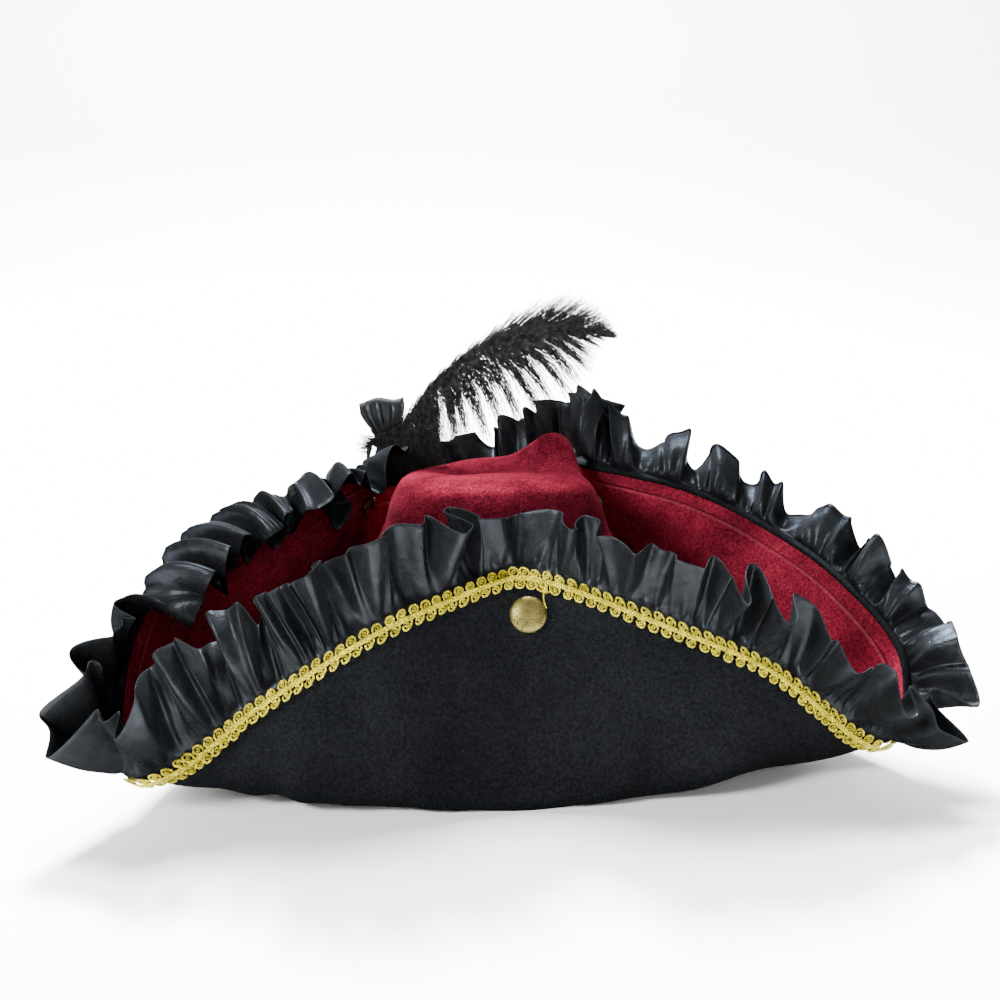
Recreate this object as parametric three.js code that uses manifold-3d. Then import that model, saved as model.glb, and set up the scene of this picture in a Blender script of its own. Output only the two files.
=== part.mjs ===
// A tricorn hat: a soft velvet crown in a broad brim that is folded up into three flaps, a gathered
// satin ruffle and a gold braid round the brim's edge, a snap button on each flap, and a plume with a
// bow on the left flap. Millimetres, +Z up, -Y is the back flap, +Y the front corner. The hat stands on
// the foot of its brim.

import * as THREE from "three";
import { mergeVertices } from "three/addons/utils/BufferGeometryUtils.js";
import Module from "manifold-3d";

const wasm = await Module();
wasm.setup();

// Head opening, brim and crown
const HEAD_LENGTH = 184;
const HEAD_WIDTH = 174;
const BRIM_WIDTH = 96;
const CROWN_SHARE = 7 / 6;
const CROWN_HEIGHT = CROWN_SHARE * BRIM_WIDTH;
const FOOT_WIDTH = 7;
const FLAP_BULGE = 6;

// Cloth walls and the air between layers
const VELVET_WALL = 1.5;
const LINING_WALL = 1.5;
const CROWN_WALL = 1.8;
const RIBBON_WALL = 1;
const CLEARANCE = 0.3;

// Edge trim
const BRAID_WIDTH = 9;
const BRAID_WALL = 2;
const BRAID_DROP = 0.8;
const RUFFLE_WIDTH = 32;
const FOLD_PITCH = 22.5;
const FOLD_DEPTH = 7.5;
const JOIN_GAP = 0.8;
const UPRIGHT_SHARE = 0.45;

// Snap buttons
const BUTTON_RADIUS = 7.5;
const BUTTON_GAP = 3;
const BUTTON_DROP = BRAID_WIDTH + BUTTON_GAP + BUTTON_RADIUS;
const POST_RADIUS = 1.8;
const SOCKET_RADIUS = 4.5;
const SOCKET_GAP = 0.5;

// Plume and bow
const PLUME_LENGTH = 155;
const PLUME_BARB = 44;
const QUILL_RADIUS = 1.4;
const BOW_RIBBON = 18;
const BOW_LOOP = 19;
const KNOT_SHARE = 0.2;

// Sections of the brim, once round from the middle of the back flap. turn: degrees from +X. reach and
// fold: the edge's and the fold's distance from the middle, as shares of the flat brim's radius there.
// rise: the edge's height, as a share of the brim's width. lift and curl: the ruffle's slope in degrees
// near its seam and at its free edge, from 0, straight out, over 90, upright, to 180, straight in. full:
// the ruffle's width, as a share of the whole.
const SECTIONS = [
  { turn: -90, reach: 0.33, rise: 0.9, fold: 0.54, lift: 92, curl: 88, full: 0.9 },
  { turn: -74, reach: 0.38, rise: 0.875, fold: 0.56, lift: 90, curl: 85, full: 0.88 },
  { turn: -58.5, reach: 0.52, rise: 0.775, fold: 0.635, lift: 85, curl: 75, full: 0.82 },
  { turn: -43.5, reach: 0.7, rise: 0.575, fold: 0.78, lift: 68, curl: 55, full: 0.85 },
  { turn: -30, reach: 0.955, rise: 0.2, fold: 0.78, lift: 28, curl: 5, full: 1 },
  { turn: -22, reach: 0.96, rise: 0.45, fold: 0.81, lift: 48, curl: 25, full: 0.72 },
  { turn: -12, reach: 0.81, rise: 0.72, fold: 0.73, lift: 52, curl: 20, full: 0.62 },
  { turn: -1, reach: 0.65, rise: 0.89, fold: 0.645, lift: 50, curl: 20, full: 0.64 },
  { turn: 5.5, reach: 0.495, rise: 1.025, fold: 0.6, lift: 50, curl: 10, full: 0.76 },
  { turn: 13, reach: 0.345, rise: 1.105, fold: 0.57, lift: 58, curl: 15, full: 0.8 },
  { turn: 30, reach: 0.27, rise: 1.13, fold: 0.55, lift: 75, curl: 40, full: 0.85 },
  { turn: 47, reach: 0.345, rise: 1.105, fold: 0.57, lift: 82, curl: 65, full: 0.95 },
  { turn: 56, reach: 0.495, rise: 1.025, fold: 0.6, lift: 85, curl: 80, full: 1 },
  { turn: 65, reach: 0.65, rise: 0.95, fold: 0.64, lift: 85, curl: 80, full: 1 },
  { turn: 75, reach: 0.8, rise: 0.87, fold: 0.67, lift: 82, curl: 75, full: 1 },
  { turn: 90, reach: 0.885, rise: 0.665, fold: 0.65, lift: 75, curl: 62, full: 0.92 },
  { turn: 105, reach: 0.8, rise: 0.75, fold: 0.66, lift: 95, curl: 105, full: 1 },
  { turn: 117, reach: 0.65, rise: 0.83, fold: 0.62, lift: 130, curl: 175, full: 0.95 },
  { turn: 128, reach: 0.505, rise: 0.92, fold: 0.58, lift: 152, curl: 195, full: 0.85 },
  { turn: 139, reach: 0.38, rise: 1.02, fold: 0.56, lift: 158, curl: 195, full: 0.78 },
  { turn: 151.5, reach: 0.335, rise: 1.13, fold: 0.55, lift: 160, curl: 190, full: 0.6 },
  { turn: 163, reach: 0.375, rise: 1.1, fold: 0.57, lift: 165, curl: 200, full: 0.85 },
  { turn: 171, reach: 0.46, rise: 1.06, fold: 0.6, lift: 172, curl: 210, full: 1.05 },
  { turn: 179, reach: 0.615, rise: 0.99, fold: 0.63, lift: 175, curl: 212, full: 1.15 },
  { turn: 188, reach: 0.755, rise: 0.895, fold: 0.7, lift: 170, curl: 212, full: 1.15 },
  { turn: 196, reach: 0.855, rise: 0.72, fold: 0.77, lift: 158, curl: 208, full: 1.15 },
  { turn: 203, reach: 0.935, rise: 0.46, fold: 0.79, lift: 86, curl: 84, full: 0.9 },
  { turn: 210.5, reach: 0.965, rise: 0.2, fold: 0.76, lift: 46, curl: 22, full: 1.2 },
  { turn: 222, reach: 0.73, rise: 0.5, fold: 0.8, lift: 86, curl: 108, full: 1.35 },
  { turn: 236, reach: 0.55, rise: 0.77, fold: 0.655, lift: 88, curl: 90, full: 1.1 },
  { turn: 252, reach: 0.39, rise: 0.865, fold: 0.57, lift: 90, curl: 85, full: 1 },
];

// Rings of the crown from its base to its top. up: share of the crown's height. out: share of the head
// opening. pinch: how much of the flaps' push in the middle of each side shows there.
const CROWN_RINGS = [
  { up: 0.012, out: 1, pinch: 0 },
  { up: 0.06, out: 1, pinch: 0 },
  { up: 0.27, out: 0.95, pinch: 0.3 },
  { up: 0.46, out: 0.87, pinch: 0.8 },
  { up: 0.66, out: 0.7, pinch: 1 },
  { up: 0.82, out: 0.59, pinch: 0.9 },
  { up: 0.95, out: 0.52, pinch: 0.5 },
  { up: 1, out: 0.42, pinch: 0.2 },
  { up: 1.005, out: 0.2, pinch: 0 },
];

// Each flap dents its side of the crown. Where the flaps' edges stand nearer than this share of the head
// opening, the whole crown gives way by as much.
const CROWN_PINCH = 0.06;
const FLAP_STAND = 0.674;
const CROWN_GIVE = FLAP_STAND - SECTIONS[0].reach * (1 + (2 * BRIM_WIDTH) / HEAD_LENGTH);

// Dents and peaks of the crown's top. turn: degrees. out: share of the head opening. lift: share of the
// crown's height. spread: share of the head opening.
const CROWN_DENTS = [
  { turn: 40, out: 0.37, lift: 0.12, spread: 0.15 },
  { turn: -90, out: 0.4, lift: 0.045, spread: 0.35 },
  { turn: 120, out: 0.25, lift: -0.045, spread: 0.2 },
];

// Locks of the plume. at: share of the spine. over and under: lengths of the lock on each side, as
// shares of the longest barb. sweep: how far the locks lean towards the tip, in degrees from square.
const PLUME_LOCKS = [
  { at: 0.34, over: 0.22, under: 0.42, sweep: 20 },
  { at: 0.41, over: 0.34, under: 0.58, sweep: 24 },
  { at: 0.48, over: 0.45, under: 0.7, sweep: 28 },
  { at: 0.55, over: 0.52, under: 0.74, sweep: 32 },
  { at: 0.63, over: 0.64, under: 0.72, sweep: 36 },
  { at: 0.71, over: 0.7, under: 0.64, sweep: 42 },
  { at: 0.79, over: 0.7, under: 0.54, sweep: 48 },
  { at: 0.87, over: 0.6, under: 0.44, sweep: 54 },
  { at: 0.94, over: 0.4, under: 0.35, sweep: 60 },
];

// The plume's spine above the flap, up to the tip. along: to the wearer's right. ahead: to the front.
// up: upwards. All are from the middle of the left flap's edge, as shares of the plume's length.
const PLUME_SPINE = [
  { along: -0.01, ahead: 0.045, up: 0.065 },
  { along: 0.072, ahead: 0.035, up: 0.115 },
  { along: 0.165, ahead: 0.028, up: 0.222 },
  { along: 0.284, ahead: 0.023, up: 0.31 },
  { along: 0.431, ahead: 0.023, up: 0.374 },
  { along: 0.549, ahead: 0.023, up: 0.393 },
  { along: 0.706, ahead: 0.023, up: 0.376 },
];

// How far each loop of the bow leans back from upright, in degrees.
const BOW_LEANS = [4, 64];

const LAYER_MIDDLE = VELVET_WALL + CLEARANCE / 2;
const UP = new THREE.Vector3(0, 0, 1);
const rad = THREE.MathUtils.degToRad;
const lerp = THREE.MathUtils.lerp;

const MATERIALS = {
  red_velvet: new THREE.MeshStandardMaterial({ color: 0x8c1230, roughness: 0.95, metalness: 0 }),
  black_velvet: new THREE.MeshStandardMaterial({ color: 0x0c0c10, roughness: 0.95, metalness: 0 }),
  black_satin: new THREE.MeshStandardMaterial({ color: 0x121318, roughness: 0.38, metalness: 0 }),
  gold_braid: new THREE.MeshStandardMaterial({ color: 0xc2a02c, roughness: 0.4, metalness: 0.6 }),
  brass: new THREE.MeshStandardMaterial({ color: 0xb8964a, roughness: 0.4, metalness: 1 }),
  black_feather: new THREE.MeshStandardMaterial({ color: 0x0d0d0f, roughness: 0.8, metalness: 0 }),
};

// The head opening's radius towards a turn in radians.
function headRadius(turn) {
  const across = HEAD_WIDTH / 2;
  const along = HEAD_LENGTH / 2;
  return (across * along) / Math.hypot(along * Math.cos(turn), across * Math.sin(turn));
}

function polar(turn, radius, height) {
  return new THREE.Vector3(radius * Math.cos(turn), radius * Math.sin(turn), height);
}

// A closed mesh from points and triangles, with its faces turned out.
function closedGeometry(points, faces) {
  const volume = faces.reduce(
    (sum, [a, b, c]) => sum + points[a].dot(new THREE.Vector3().crossVectors(points[b], points[c])),
    0,
  );
  const geometry = new THREE.BufferGeometry().setFromPoints(points);
  geometry.setIndex(faces.flatMap(([a, b, c]) => (volume < 0 ? [a, c, b] : [a, b, c])));
  return geometry;
}

function toSolid(geometry) {
  const bare = new THREE.BufferGeometry().setAttribute("position", geometry.getAttribute("position"));
  if (geometry.index) bare.setIndex(geometry.index);
  const merged = mergeVertices(bare, 1e-4);
  return new wasm.Manifold(
    new wasm.Mesh({
      numProp: 3,
      vertProperties: merged.attributes.position.array,
      triVerts: new Uint32Array(merged.index.array),
    }),
  );
}

function fromSolid(solid) {
  const mesh = solid.getMesh();
  const geometry = new THREE.BufferGeometry();
  geometry.setAttribute("position", new THREE.BufferAttribute(new Float32Array(mesh.vertProperties), 3));
  geometry.setIndex(new THREE.BufferAttribute(new Uint32Array(mesh.triVerts), 1));
  return geometry;
}

// Unit normals of a grid of points [column][row], on the side where the rows' direction turns into the
// columns'.
function gridNormals(grid, closed) {
  const columns = grid.length;
  return grid.map((column, c) =>
    column.map((point, r) => {
      const before = closed ? (c + columns - 1) % columns : Math.max(c - 1, 0);
      const after = closed ? (c + 1) % columns : Math.min(c + 1, columns - 1);
      const across = grid[after][r].clone().sub(grid[before][r]);
      const down = column[Math.min(r + 1, column.length - 1)].clone().sub(column[Math.max(r - 1, 0)]);
      return down.cross(across).normalize();
    }),
  );
}

function offsetGrid(grid, normals, distance) {
  return grid.map((column, c) =>
    column.map((point, r) => point.clone().addScaledVector(normals[c][r], distance)),
  );
}

// A wall between two grids that run once round.
function ringWall(front, back) {
  const columns = front.length;
  const rows = front[0].length;
  const points = [...front.flat(), ...back.flat()];
  const faces = [];
  const at = (side, c, r) => side * columns * rows + (c % columns) * rows + r;
  for (let c = 0; c < columns; c++) {
    for (let r = 0; r + 1 < rows; r++) {
      faces.push([at(0, c, r), at(0, c + 1, r), at(0, c + 1, r + 1)]);
      faces.push([at(0, c, r), at(0, c + 1, r + 1), at(0, c, r + 1)]);
      faces.push([at(1, c, r), at(1, c + 1, r + 1), at(1, c + 1, r)]);
      faces.push([at(1, c, r), at(1, c, r + 1), at(1, c + 1, r + 1)]);
    }
    faces.push([at(0, c, 0), at(1, c + 1, 0), at(0, c + 1, 0)]);
    faces.push([at(0, c, 0), at(1, c, 0), at(1, c + 1, 0)]);
    faces.push([at(0, c, rows - 1), at(0, c + 1, rows - 1), at(1, c + 1, rows - 1)]);
    faces.push([at(0, c, rows - 1), at(1, c + 1, rows - 1), at(1, c, rows - 1)]);
  }
  return closedGeometry(points, faces);
}

// The brim's edge, through the edge point of every section.
function makeEdgeCurve() {
  const curve = new THREE.CatmullRomCurve3(
    SECTIONS.map((row) => {
      const turn = rad(row.turn);
      const radius = row.reach * (headRadius(turn) + BRIM_WIDTH);
      return polar(turn, radius, LAYER_MIDDLE + row.rise * BRIM_WIDTH);
    }),
    true,
    "centripetal",
  );
  curve.arcLengthDivisions = 1200;
  return curve;
}

// A column of the sections' table at a place t from 0 to 1 along the edge.
function sectionValue(name, t) {
  const place = t * SECTIONS.length;
  const row = Math.floor(place);
  const share = THREE.MathUtils.smoothstep(place - row, 0, 1);
  return lerp(SECTIONS[row % SECTIONS.length][name], SECTIONS[(row + 1) % SECTIONS.length][name], share);
}

const edgeCurve = makeEdgeCurve();
const FOLDS = 3 * Math.round(edgeCurve.getLength() / (3 * FOLD_PITCH));
const COLUMNS = (FOLDS * 4) / 3;
const STEPS = 3;

// Points of a column of the brim between its foot and its edge band, as shares of that side.
const BRIM_ROWS = [0, 0.22, 0.55];
const ROW = { foot: 1, band: 1 + BRIM_ROWS.length, edge: 2 + BRIM_ROWS.length };

// A column of points in the middle of the brim's two layers, from the head opening to the edge.
function brimColumn(index) {
  const t = edgeCurve.getUtoTmapping(index / COLUMNS);
  const edge = edgeCurve.getPoint(t);
  const turn = rad(-90) + (2 * Math.PI * index) / COLUMNS;
  const ahead = Math.atan2(edge.y, edge.x) - turn;
  const foldTurn = turn + Math.atan2(Math.sin(ahead), Math.cos(ahead)) / 2;
  const foot = polar(turn, headRadius(turn) + FOOT_WIDTH, LAYER_MIDDLE);
  const fold = polar(foldTurn, sectionValue("fold", t) * (headRadius(foldTurn) + BRIM_WIDTH), LAYER_MIDDLE);
  const bulge = polar(foldTurn, FLAP_BULGE * sectionValue("rise", t), 0);
  const side = new THREE.CubicBezierCurve3(
    foot,
    foot.clone().lerp(fold, 0.75),
    edge.clone().lerp(fold, 0.62).add(bulge),
    edge,
  );
  const length = side.getLength();
  const band = 1 - BRAID_WIDTH / length;
  return [
    polar(turn, headRadius(turn), LAYER_MIDDLE),
    ...BRIM_ROWS.map((share) => side.getPointAt(share * band)),
    side.getPointAt(band),
    edge,
  ];
}

const brimGrid = Array.from({ length: COLUMNS }, (_, index) => brimColumn(index));

// A face's normal between two rows of a column, towards the lining. The foot is level.
function brimFace(column, row) {
  if (row < ROW.foot) return UP.clone();
  const rows = brimGrid[column];
  const before = brimGrid[(column + COLUMNS - 1) % COLUMNS];
  const after = brimGrid[(column + 1) % COLUMNS];
  const across = after[row].clone().add(after[row + 1]).sub(before[row]).sub(before[row + 1]);
  return rows[row + 1].clone().sub(rows[row]).cross(across).normalize();
}

// Offsets of one millimetre at each point, mitred so that a layer keeps its thickness on both sides of a
// bend.
const brimNormals = brimGrid.map((rows, column) =>
  Array.from(rows.keys(), (row) => {
    const above = brimFace(column, Math.min(row, ROW.edge - 1));
    const below = brimFace(column, Math.max(row - 1, 0));
    return above.clone().add(below).divideScalar(1 + above.dot(below));
  }),
);

// What the trim needs to know of the brim's edge at a place counted in columns, with straight runs
// between columns. out is level and square to the edge. stand points upwards, part of the way over to
// square to the edge.
function edgeFrame(place) {
  const from = Math.floor(place) % COLUMNS;
  const to = (from + 1) % COLUMNS;
  const share = place - Math.floor(place);
  const mix = (of) => of(from).lerp(of(to), share);
  const normal = mix((c) => brimNormals[c][ROW.edge].clone());
  const forward = mix((c) =>
    brimGrid[(c + 1) % COLUMNS][ROW.edge].clone().sub(brimGrid[(c + COLUMNS - 1) % COLUMNS][ROW.edge]),
  ).normalize();
  const onward = mix((c) => brimGrid[c][ROW.edge].clone().sub(brimGrid[c][ROW.band])).normalize();
  const out = forward.clone().cross(UP).normalize();
  const stand = out.clone().cross(forward).lerp(UP, UPRIGHT_SHARE).normalize();
  const t = edgeCurve.getUtoTmapping(Math.min(place / COLUMNS, 1));
  return {
    edge: mix((c) => brimGrid[c][ROW.edge].clone()),
    normal,
    out,
    stand,
    slope: Math.atan2(onward.dot(UP), onward.dot(out)),
    lift: rad(sectionValue("lift", t)),
    curl: rad(sectionValue("curl", t)),
    full: sectionValue("full", t),
  };
}

// The place, counted in columns, where the brim's edge lies towards a turn in degrees.
function placeTowards(turn) {
  const ahead = (c) => {
    const edge = brimGrid[c % COLUMNS][ROW.edge];
    const angle = Math.atan2(edge.y, edge.x) - rad(turn);
    return Math.atan2(Math.sin(angle), Math.cos(angle));
  };
  for (let c = 0; c < COLUMNS; c++) {
    const from = ahead(c);
    const to = ahead(c + 1);
    if (from <= 0 && to > 0 && to - from < 1) return c + from / (from - to);
  }
  return 0;
}

// A place on the brim's middle surface, down from the edge, with its normal towards the lining.
function brimSeat(place, drop) {
  const from = Math.floor(place) % COLUMNS;
  const to = (from + 1) % COLUMNS;
  const share = place - Math.floor(place);
  const rows = brimGrid[from].map((point, r) => point.clone().lerp(brimGrid[to][r], share));
  const normals = brimNormals[from].map((normal, r) => normal.clone().lerp(brimNormals[to][r], share));
  let left = drop;
  let r = ROW.edge;
  while (r > 1 && left > rows[r].distanceTo(rows[r - 1])) {
    left -= rows[r].distanceTo(rows[r - 1]);
    r--;
  }
  const part = left / rows[r].distanceTo(rows[r - 1]);
  return {
    point: rows[r].clone().lerp(rows[r - 1], part),
    normal: normals[r].clone().lerp(normals[r - 1], part).normalize(),
  };
}

const FLAPS = [
  { name: "back", turn: -86.5 },
  { name: "right", turn: 30 },
  { name: "left", turn: 150 },
].map((flap) => ({ ...flap, place: placeTowards(flap.turn) }));

// A rod through the brim where a button's post goes.
function postHole(flap) {
  const seat = brimSeat(flap.place, BUTTON_DROP);
  const radius = POST_RADIUS + CLEARANCE;
  const rod = new THREE.CylinderGeometry(radius, radius, 8 * LAYER_MIDDLE, 8);
  rod.applyQuaternion(new THREE.Quaternion().setFromUnitVectors(new THREE.Vector3(0, 1, 0), seat.normal));
  rod.translate(seat.point.x, seat.point.y, seat.point.z);
  return toSolid(rod);
}

function withPostHoles(geometry) {
  const cut = FLAPS.reduce((solid, flap) => solid.subtract(postHole(flap)), toSolid(geometry));
  return fromSolid(cut);
}

function brimLayer(low, high) {
  const [front, back] = [high, low].map((distance) => offsetGrid(brimGrid, brimNormals, distance));
  return withPostHoles(ringWall(front, back));
}

// The braid lies on the ruffle's seam allowance, which lies on the brim's outer layer.
const RIBBON_SEAT = -(LAYER_MIDDLE + CLEARANCE + RIBBON_WALL / 2);
const BRAID_SEAT = RIBBON_SEAT - RIBBON_WALL / 2 - CLEARANCE;

// The edge band at a column: its low and high points and the normal at each.
function bandPoints(column, shift) {
  const next = (column + 1) % COLUMNS;
  const ends = [ROW.band, ROW.edge].map((row) => ({
    point: brimGrid[column][row].clone().lerp(brimGrid[next][row], shift),
    normal: brimNormals[column][row].clone().lerp(brimNormals[next][row], shift),
  }));
  return { low: ends[0], high: ends[1] };
}

// The trim's two ends stop a little short of each other in the middle of the back flap.
const JOIN_SHIFT = (JOIN_GAP / (2 * edgeCurve.getLength())) * COLUMNS;

function trimBand(column) {
  if (column === COLUMNS) return bandPoints(COLUMNS - 1, 1 - JOIN_SHIFT);
  return bandPoints(column, column === 0 ? JOIN_SHIFT : 0);
}

function braid() {
  const points = [];
  const faces = [];
  for (let i = 0; i <= COLUMNS; i++) {
    const at = trimBand(i);
    const high = at.high.point.clone().lerp(at.low.point, BRAID_DROP / BRAID_WIDTH);
    points.push(
      at.low.point.clone().addScaledVector(at.low.normal, BRAID_SEAT),
      high.clone().addScaledVector(at.high.normal, BRAID_SEAT),
      high.clone().addScaledVector(at.high.normal, BRAID_SEAT - BRAID_WALL),
      at.low.point.clone().addScaledVector(at.low.normal, BRAID_SEAT - BRAID_WALL),
    );
  }
  for (let i = 0; i < COLUMNS; i++) {
    const a = 4 * i;
    const b = a + 4;
    faces.push([a, b + 1, b], [a, a + 1, b + 1]);
    faces.push([a + 1, b + 2, b + 1], [a + 1, a + 2, b + 2]);
    faces.push([a + 2, a + 3, b + 2], [a + 3, b + 3, b + 2]);
    faces.push([a + 3, a, b], [a + 3, b, b + 3]);
  }
  const end = 4 * COLUMNS;
  faces.push([0, 2, 1], [0, 3, 2], [end, end + 1, end + 2], [end, end + 2, end + 3]);
  return closedGeometry(points, faces);
}

// How deep and how long each fold is, so that no two neighbours are alike.
function foldDepth(fold) {
  return FOLD_DEPTH * (0.82 + 0.13 * Math.sin(2.4 * fold + 0.6) + 0.1 * Math.sin(0.9 * fold));
}

function foldHeight(fold) {
  return 1 - 0.07 * (1 + Math.sin(1.7 * fold + 1.1));
}

// The ruffle's slope at a share w of its width: along the brim at the seam, then its lift, then its curl.
function ruffleSlope(frame, w) {
  const lifted = lerp(frame.slope, frame.lift, THREE.MathUtils.smoothstep(w, -0.05, 0.18));
  return lerp(lifted, frame.curl, THREE.MathUtils.smoothstep(w, 0.25, 1));
}

function rufflePoint(frame, fold, w) {
  const point = frame.edge.clone().addScaledVector(frame.normal, RIBBON_SEAT);
  const pieces = 12;
  const width = RUFFLE_WIDTH * frame.full * foldHeight(fold);
  for (let k = 0; k < pieces * w; k++) {
    const slope = ruffleSlope(frame, (k + 0.5) / pieces);
    point.addScaledVector(frame.out, (width / pieces) * Math.cos(slope));
    point.addScaledVector(frame.stand, (width / pieces) * Math.sin(slope));
  }
  const slope = ruffleSlope(frame, w);
  const wave = foldDepth(fold) * frame.full * Math.pow(w, 0.8) * Math.sin(2 * Math.PI * fold);
  point.addScaledVector(frame.out, -Math.sin(slope) * wave);
  return point.addScaledVector(frame.stand, Math.cos(slope) * wave);
}

function ruffle() {
  const widths = [0, 0.25, 0.6, 1];
  const last = COLUMNS * STEPS;
  const places = Array.from({ length: last + 1 }, (_, i) => {
    return Math.min(Math.max(i / STEPS, JOIN_SHIFT), COLUMNS - JOIN_SHIFT);
  });
  const frames = places.map(edgeFrame);
  const grid = frames.map((frame, i) => widths.map((w) => rufflePoint(frame, (i * FOLDS) / last, w)));
  const normals = gridNormals(grid, false);
  normals.forEach((column, i) => {
    column[0] = frames[i].normal;
  });
  const points = [];
  const faces = [];
  const free = [];
  const seam = [];
  for (const side of [1, -1]) {
    const half = (side * RIBBON_WALL) / 2;
    free.push(offsetGrid(grid, normals, half).map((column) => column.map((p) => points.push(p) - 1)));
    seam.push(
      Array.from({ length: COLUMNS + 1 }, (_, i) => {
        const { low } = trimBand(i);
        return points.push(low.point.clone().addScaledVector(low.normal, RIBBON_SEAT + half)) - 1;
      }),
    );
  }
  const quad = (a, b, c, d) => faces.push([a, b, c], [a, c, d]);
  for (let side = 0; side < 2; side++) {
    const turn = (a, b, c) => faces.push(side ? [a, c, b] : [a, b, c]);
    for (let i = 0; i < COLUMNS; i++) {
      for (let k = 0; k < STEPS; k++) {
        turn(seam[side][i], free[side][STEPS * i + k + 1][0], free[side][STEPS * i + k][0]);
      }
      turn(seam[side][i], seam[side][i + 1], free[side][STEPS * (i + 1)][0]);
    }
    for (let i = 0; i < last; i++) {
      for (let r = 0; r + 1 < widths.length; r++) {
        turn(free[side][i][r], free[side][i + 1][r], free[side][i + 1][r + 1]);
        turn(free[side][i][r], free[side][i + 1][r + 1], free[side][i][r + 1]);
      }
    }
  }
  for (let i = 0; i < COLUMNS; i++) quad(seam[0][i], seam[1][i], seam[1][i + 1], seam[0][i + 1]);
  const top = widths.length - 1;
  for (let i = 0; i < last; i++) {
    quad(free[0][i][top], free[0][i + 1][top], free[1][i + 1][top], free[1][i][top]);
  }
  for (const [i, c] of [
    [0, 0],
    [COLUMNS, last],
  ]) {
    const rim = [0, 1].map((side) => [seam[side][i], ...free[side][c]]);
    for (let r = 0; r + 1 < rim[0].length; r++) {
      if (i === 0) quad(rim[0][r], rim[0][r + 1], rim[1][r + 1], rim[1][r]);
      else quad(rim[0][r], rim[1][r], rim[1][r + 1], rim[0][r + 1]);
    }
  }
  return closedGeometry(points, faces);
}

// A point of the crown's outer skin.
function crownPoint(ring, turn) {
  const push = 1 - ring.pinch * (CROWN_PINCH * Math.cos(3 * (turn - rad(30))) + CROWN_GIVE);
  const base = headRadius(turn) - CLEARANCE;
  const point = polar(turn, base * ring.out * push, ring.up * CROWN_HEIGHT);
  const weight = THREE.MathUtils.smoothstep(ring.up, 0.6, 0.95);
  for (const dent of CROWN_DENTS) {
    const centre = polar(rad(dent.turn), dent.out * headRadius(rad(dent.turn)), point.z);
    const spread = (dent.spread * HEAD_WIDTH) / 2;
    const share = Math.exp(-point.distanceToSquared(centre) / (2 * spread * spread));
    point.z += weight * share * dent.lift * CROWN_HEIGHT;
  }
  return point;
}

function crown() {
  const columns = COLUMNS / 2;
  const turns = Array.from({ length: columns }, (_, c) => rad(-90) + (2 * Math.PI * c) / columns);
  const outer = turns.map((turn) => CROWN_RINGS.map((ring) => crownPoint(ring, turn)));
  const normals = gridNormals(outer, true);
  const inner = offsetGrid(outer, normals, CROWN_WALL);
  inner.forEach((column, c) => {
    column[0] = polar(turns[c], headRadius(turns[c]) - CLEARANCE - CROWN_WALL, outer[c][0].z);
  });
  const rows = CROWN_RINGS.length;
  const points = [...outer.flat(), ...inner.flat()];
  const tops = [outer, inner].map((grid, side) => {
    const middle = new THREE.Vector3();
    for (const column of grid) middle.addScaledVector(column[rows - 1], 1 / columns);
    return points.push(middle.addScaledVector(UP, 0.4 - 0.1 * side)) - 1;
  });
  const faces = [];
  const at = (side, c, r) => side * columns * rows + (c % columns) * rows + r;
  for (let c = 0; c < columns; c++) {
    for (let r = 0; r + 1 < rows; r++) {
      faces.push([at(0, c, r), at(0, c + 1, r), at(0, c + 1, r + 1)]);
      faces.push([at(0, c, r), at(0, c + 1, r + 1), at(0, c, r + 1)]);
      faces.push([at(1, c, r), at(1, c + 1, r + 1), at(1, c + 1, r)]);
      faces.push([at(1, c, r), at(1, c, r + 1), at(1, c + 1, r + 1)]);
    }
    faces.push([at(0, c, rows - 1), at(0, c + 1, rows - 1), tops[0]]);
    faces.push([at(1, c + 1, rows - 1), at(1, c, rows - 1), tops[1]]);
    faces.push([at(0, c, 0), at(1, c + 1, 0), at(0, c + 1, 0)]);
    faces.push([at(0, c, 0), at(1, c, 0), at(1, c + 1, 0)]);
  }
  return closedGeometry(points, faces);
}

// A snap button: a domed cap outside, a post through both layers and a socket ring on the lining.
function button() {
  const outside = LAYER_MIDDLE + CLEARANCE;
  const inside = -(CLEARANCE / 2 + LINING_WALL + SOCKET_GAP);
  const profile = [
    [0, inside - 1.2],
    [SOCKET_RADIUS * 0.55, inside - 1.2],
    [SOCKET_RADIUS * 0.7, inside - 2],
    [SOCKET_RADIUS, inside - 1.6],
    [SOCKET_RADIUS * 0.9, inside - 0.5],
    [POST_RADIUS, inside],
    [POST_RADIUS, outside],
    [BUTTON_RADIUS * 0.5, outside + 0.4],
    [BUTTON_RADIUS, outside + 2],
    [BUTTON_RADIUS * 0.96, outside + 2.9],
    [BUTTON_RADIUS * 0.62, outside + 4],
    [0, outside + 4.5],
  ];
  return new THREE.LatheGeometry(
    profile.map(([x, y]) => new THREE.Vector2(x, y)),
    8,
  );
}

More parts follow.
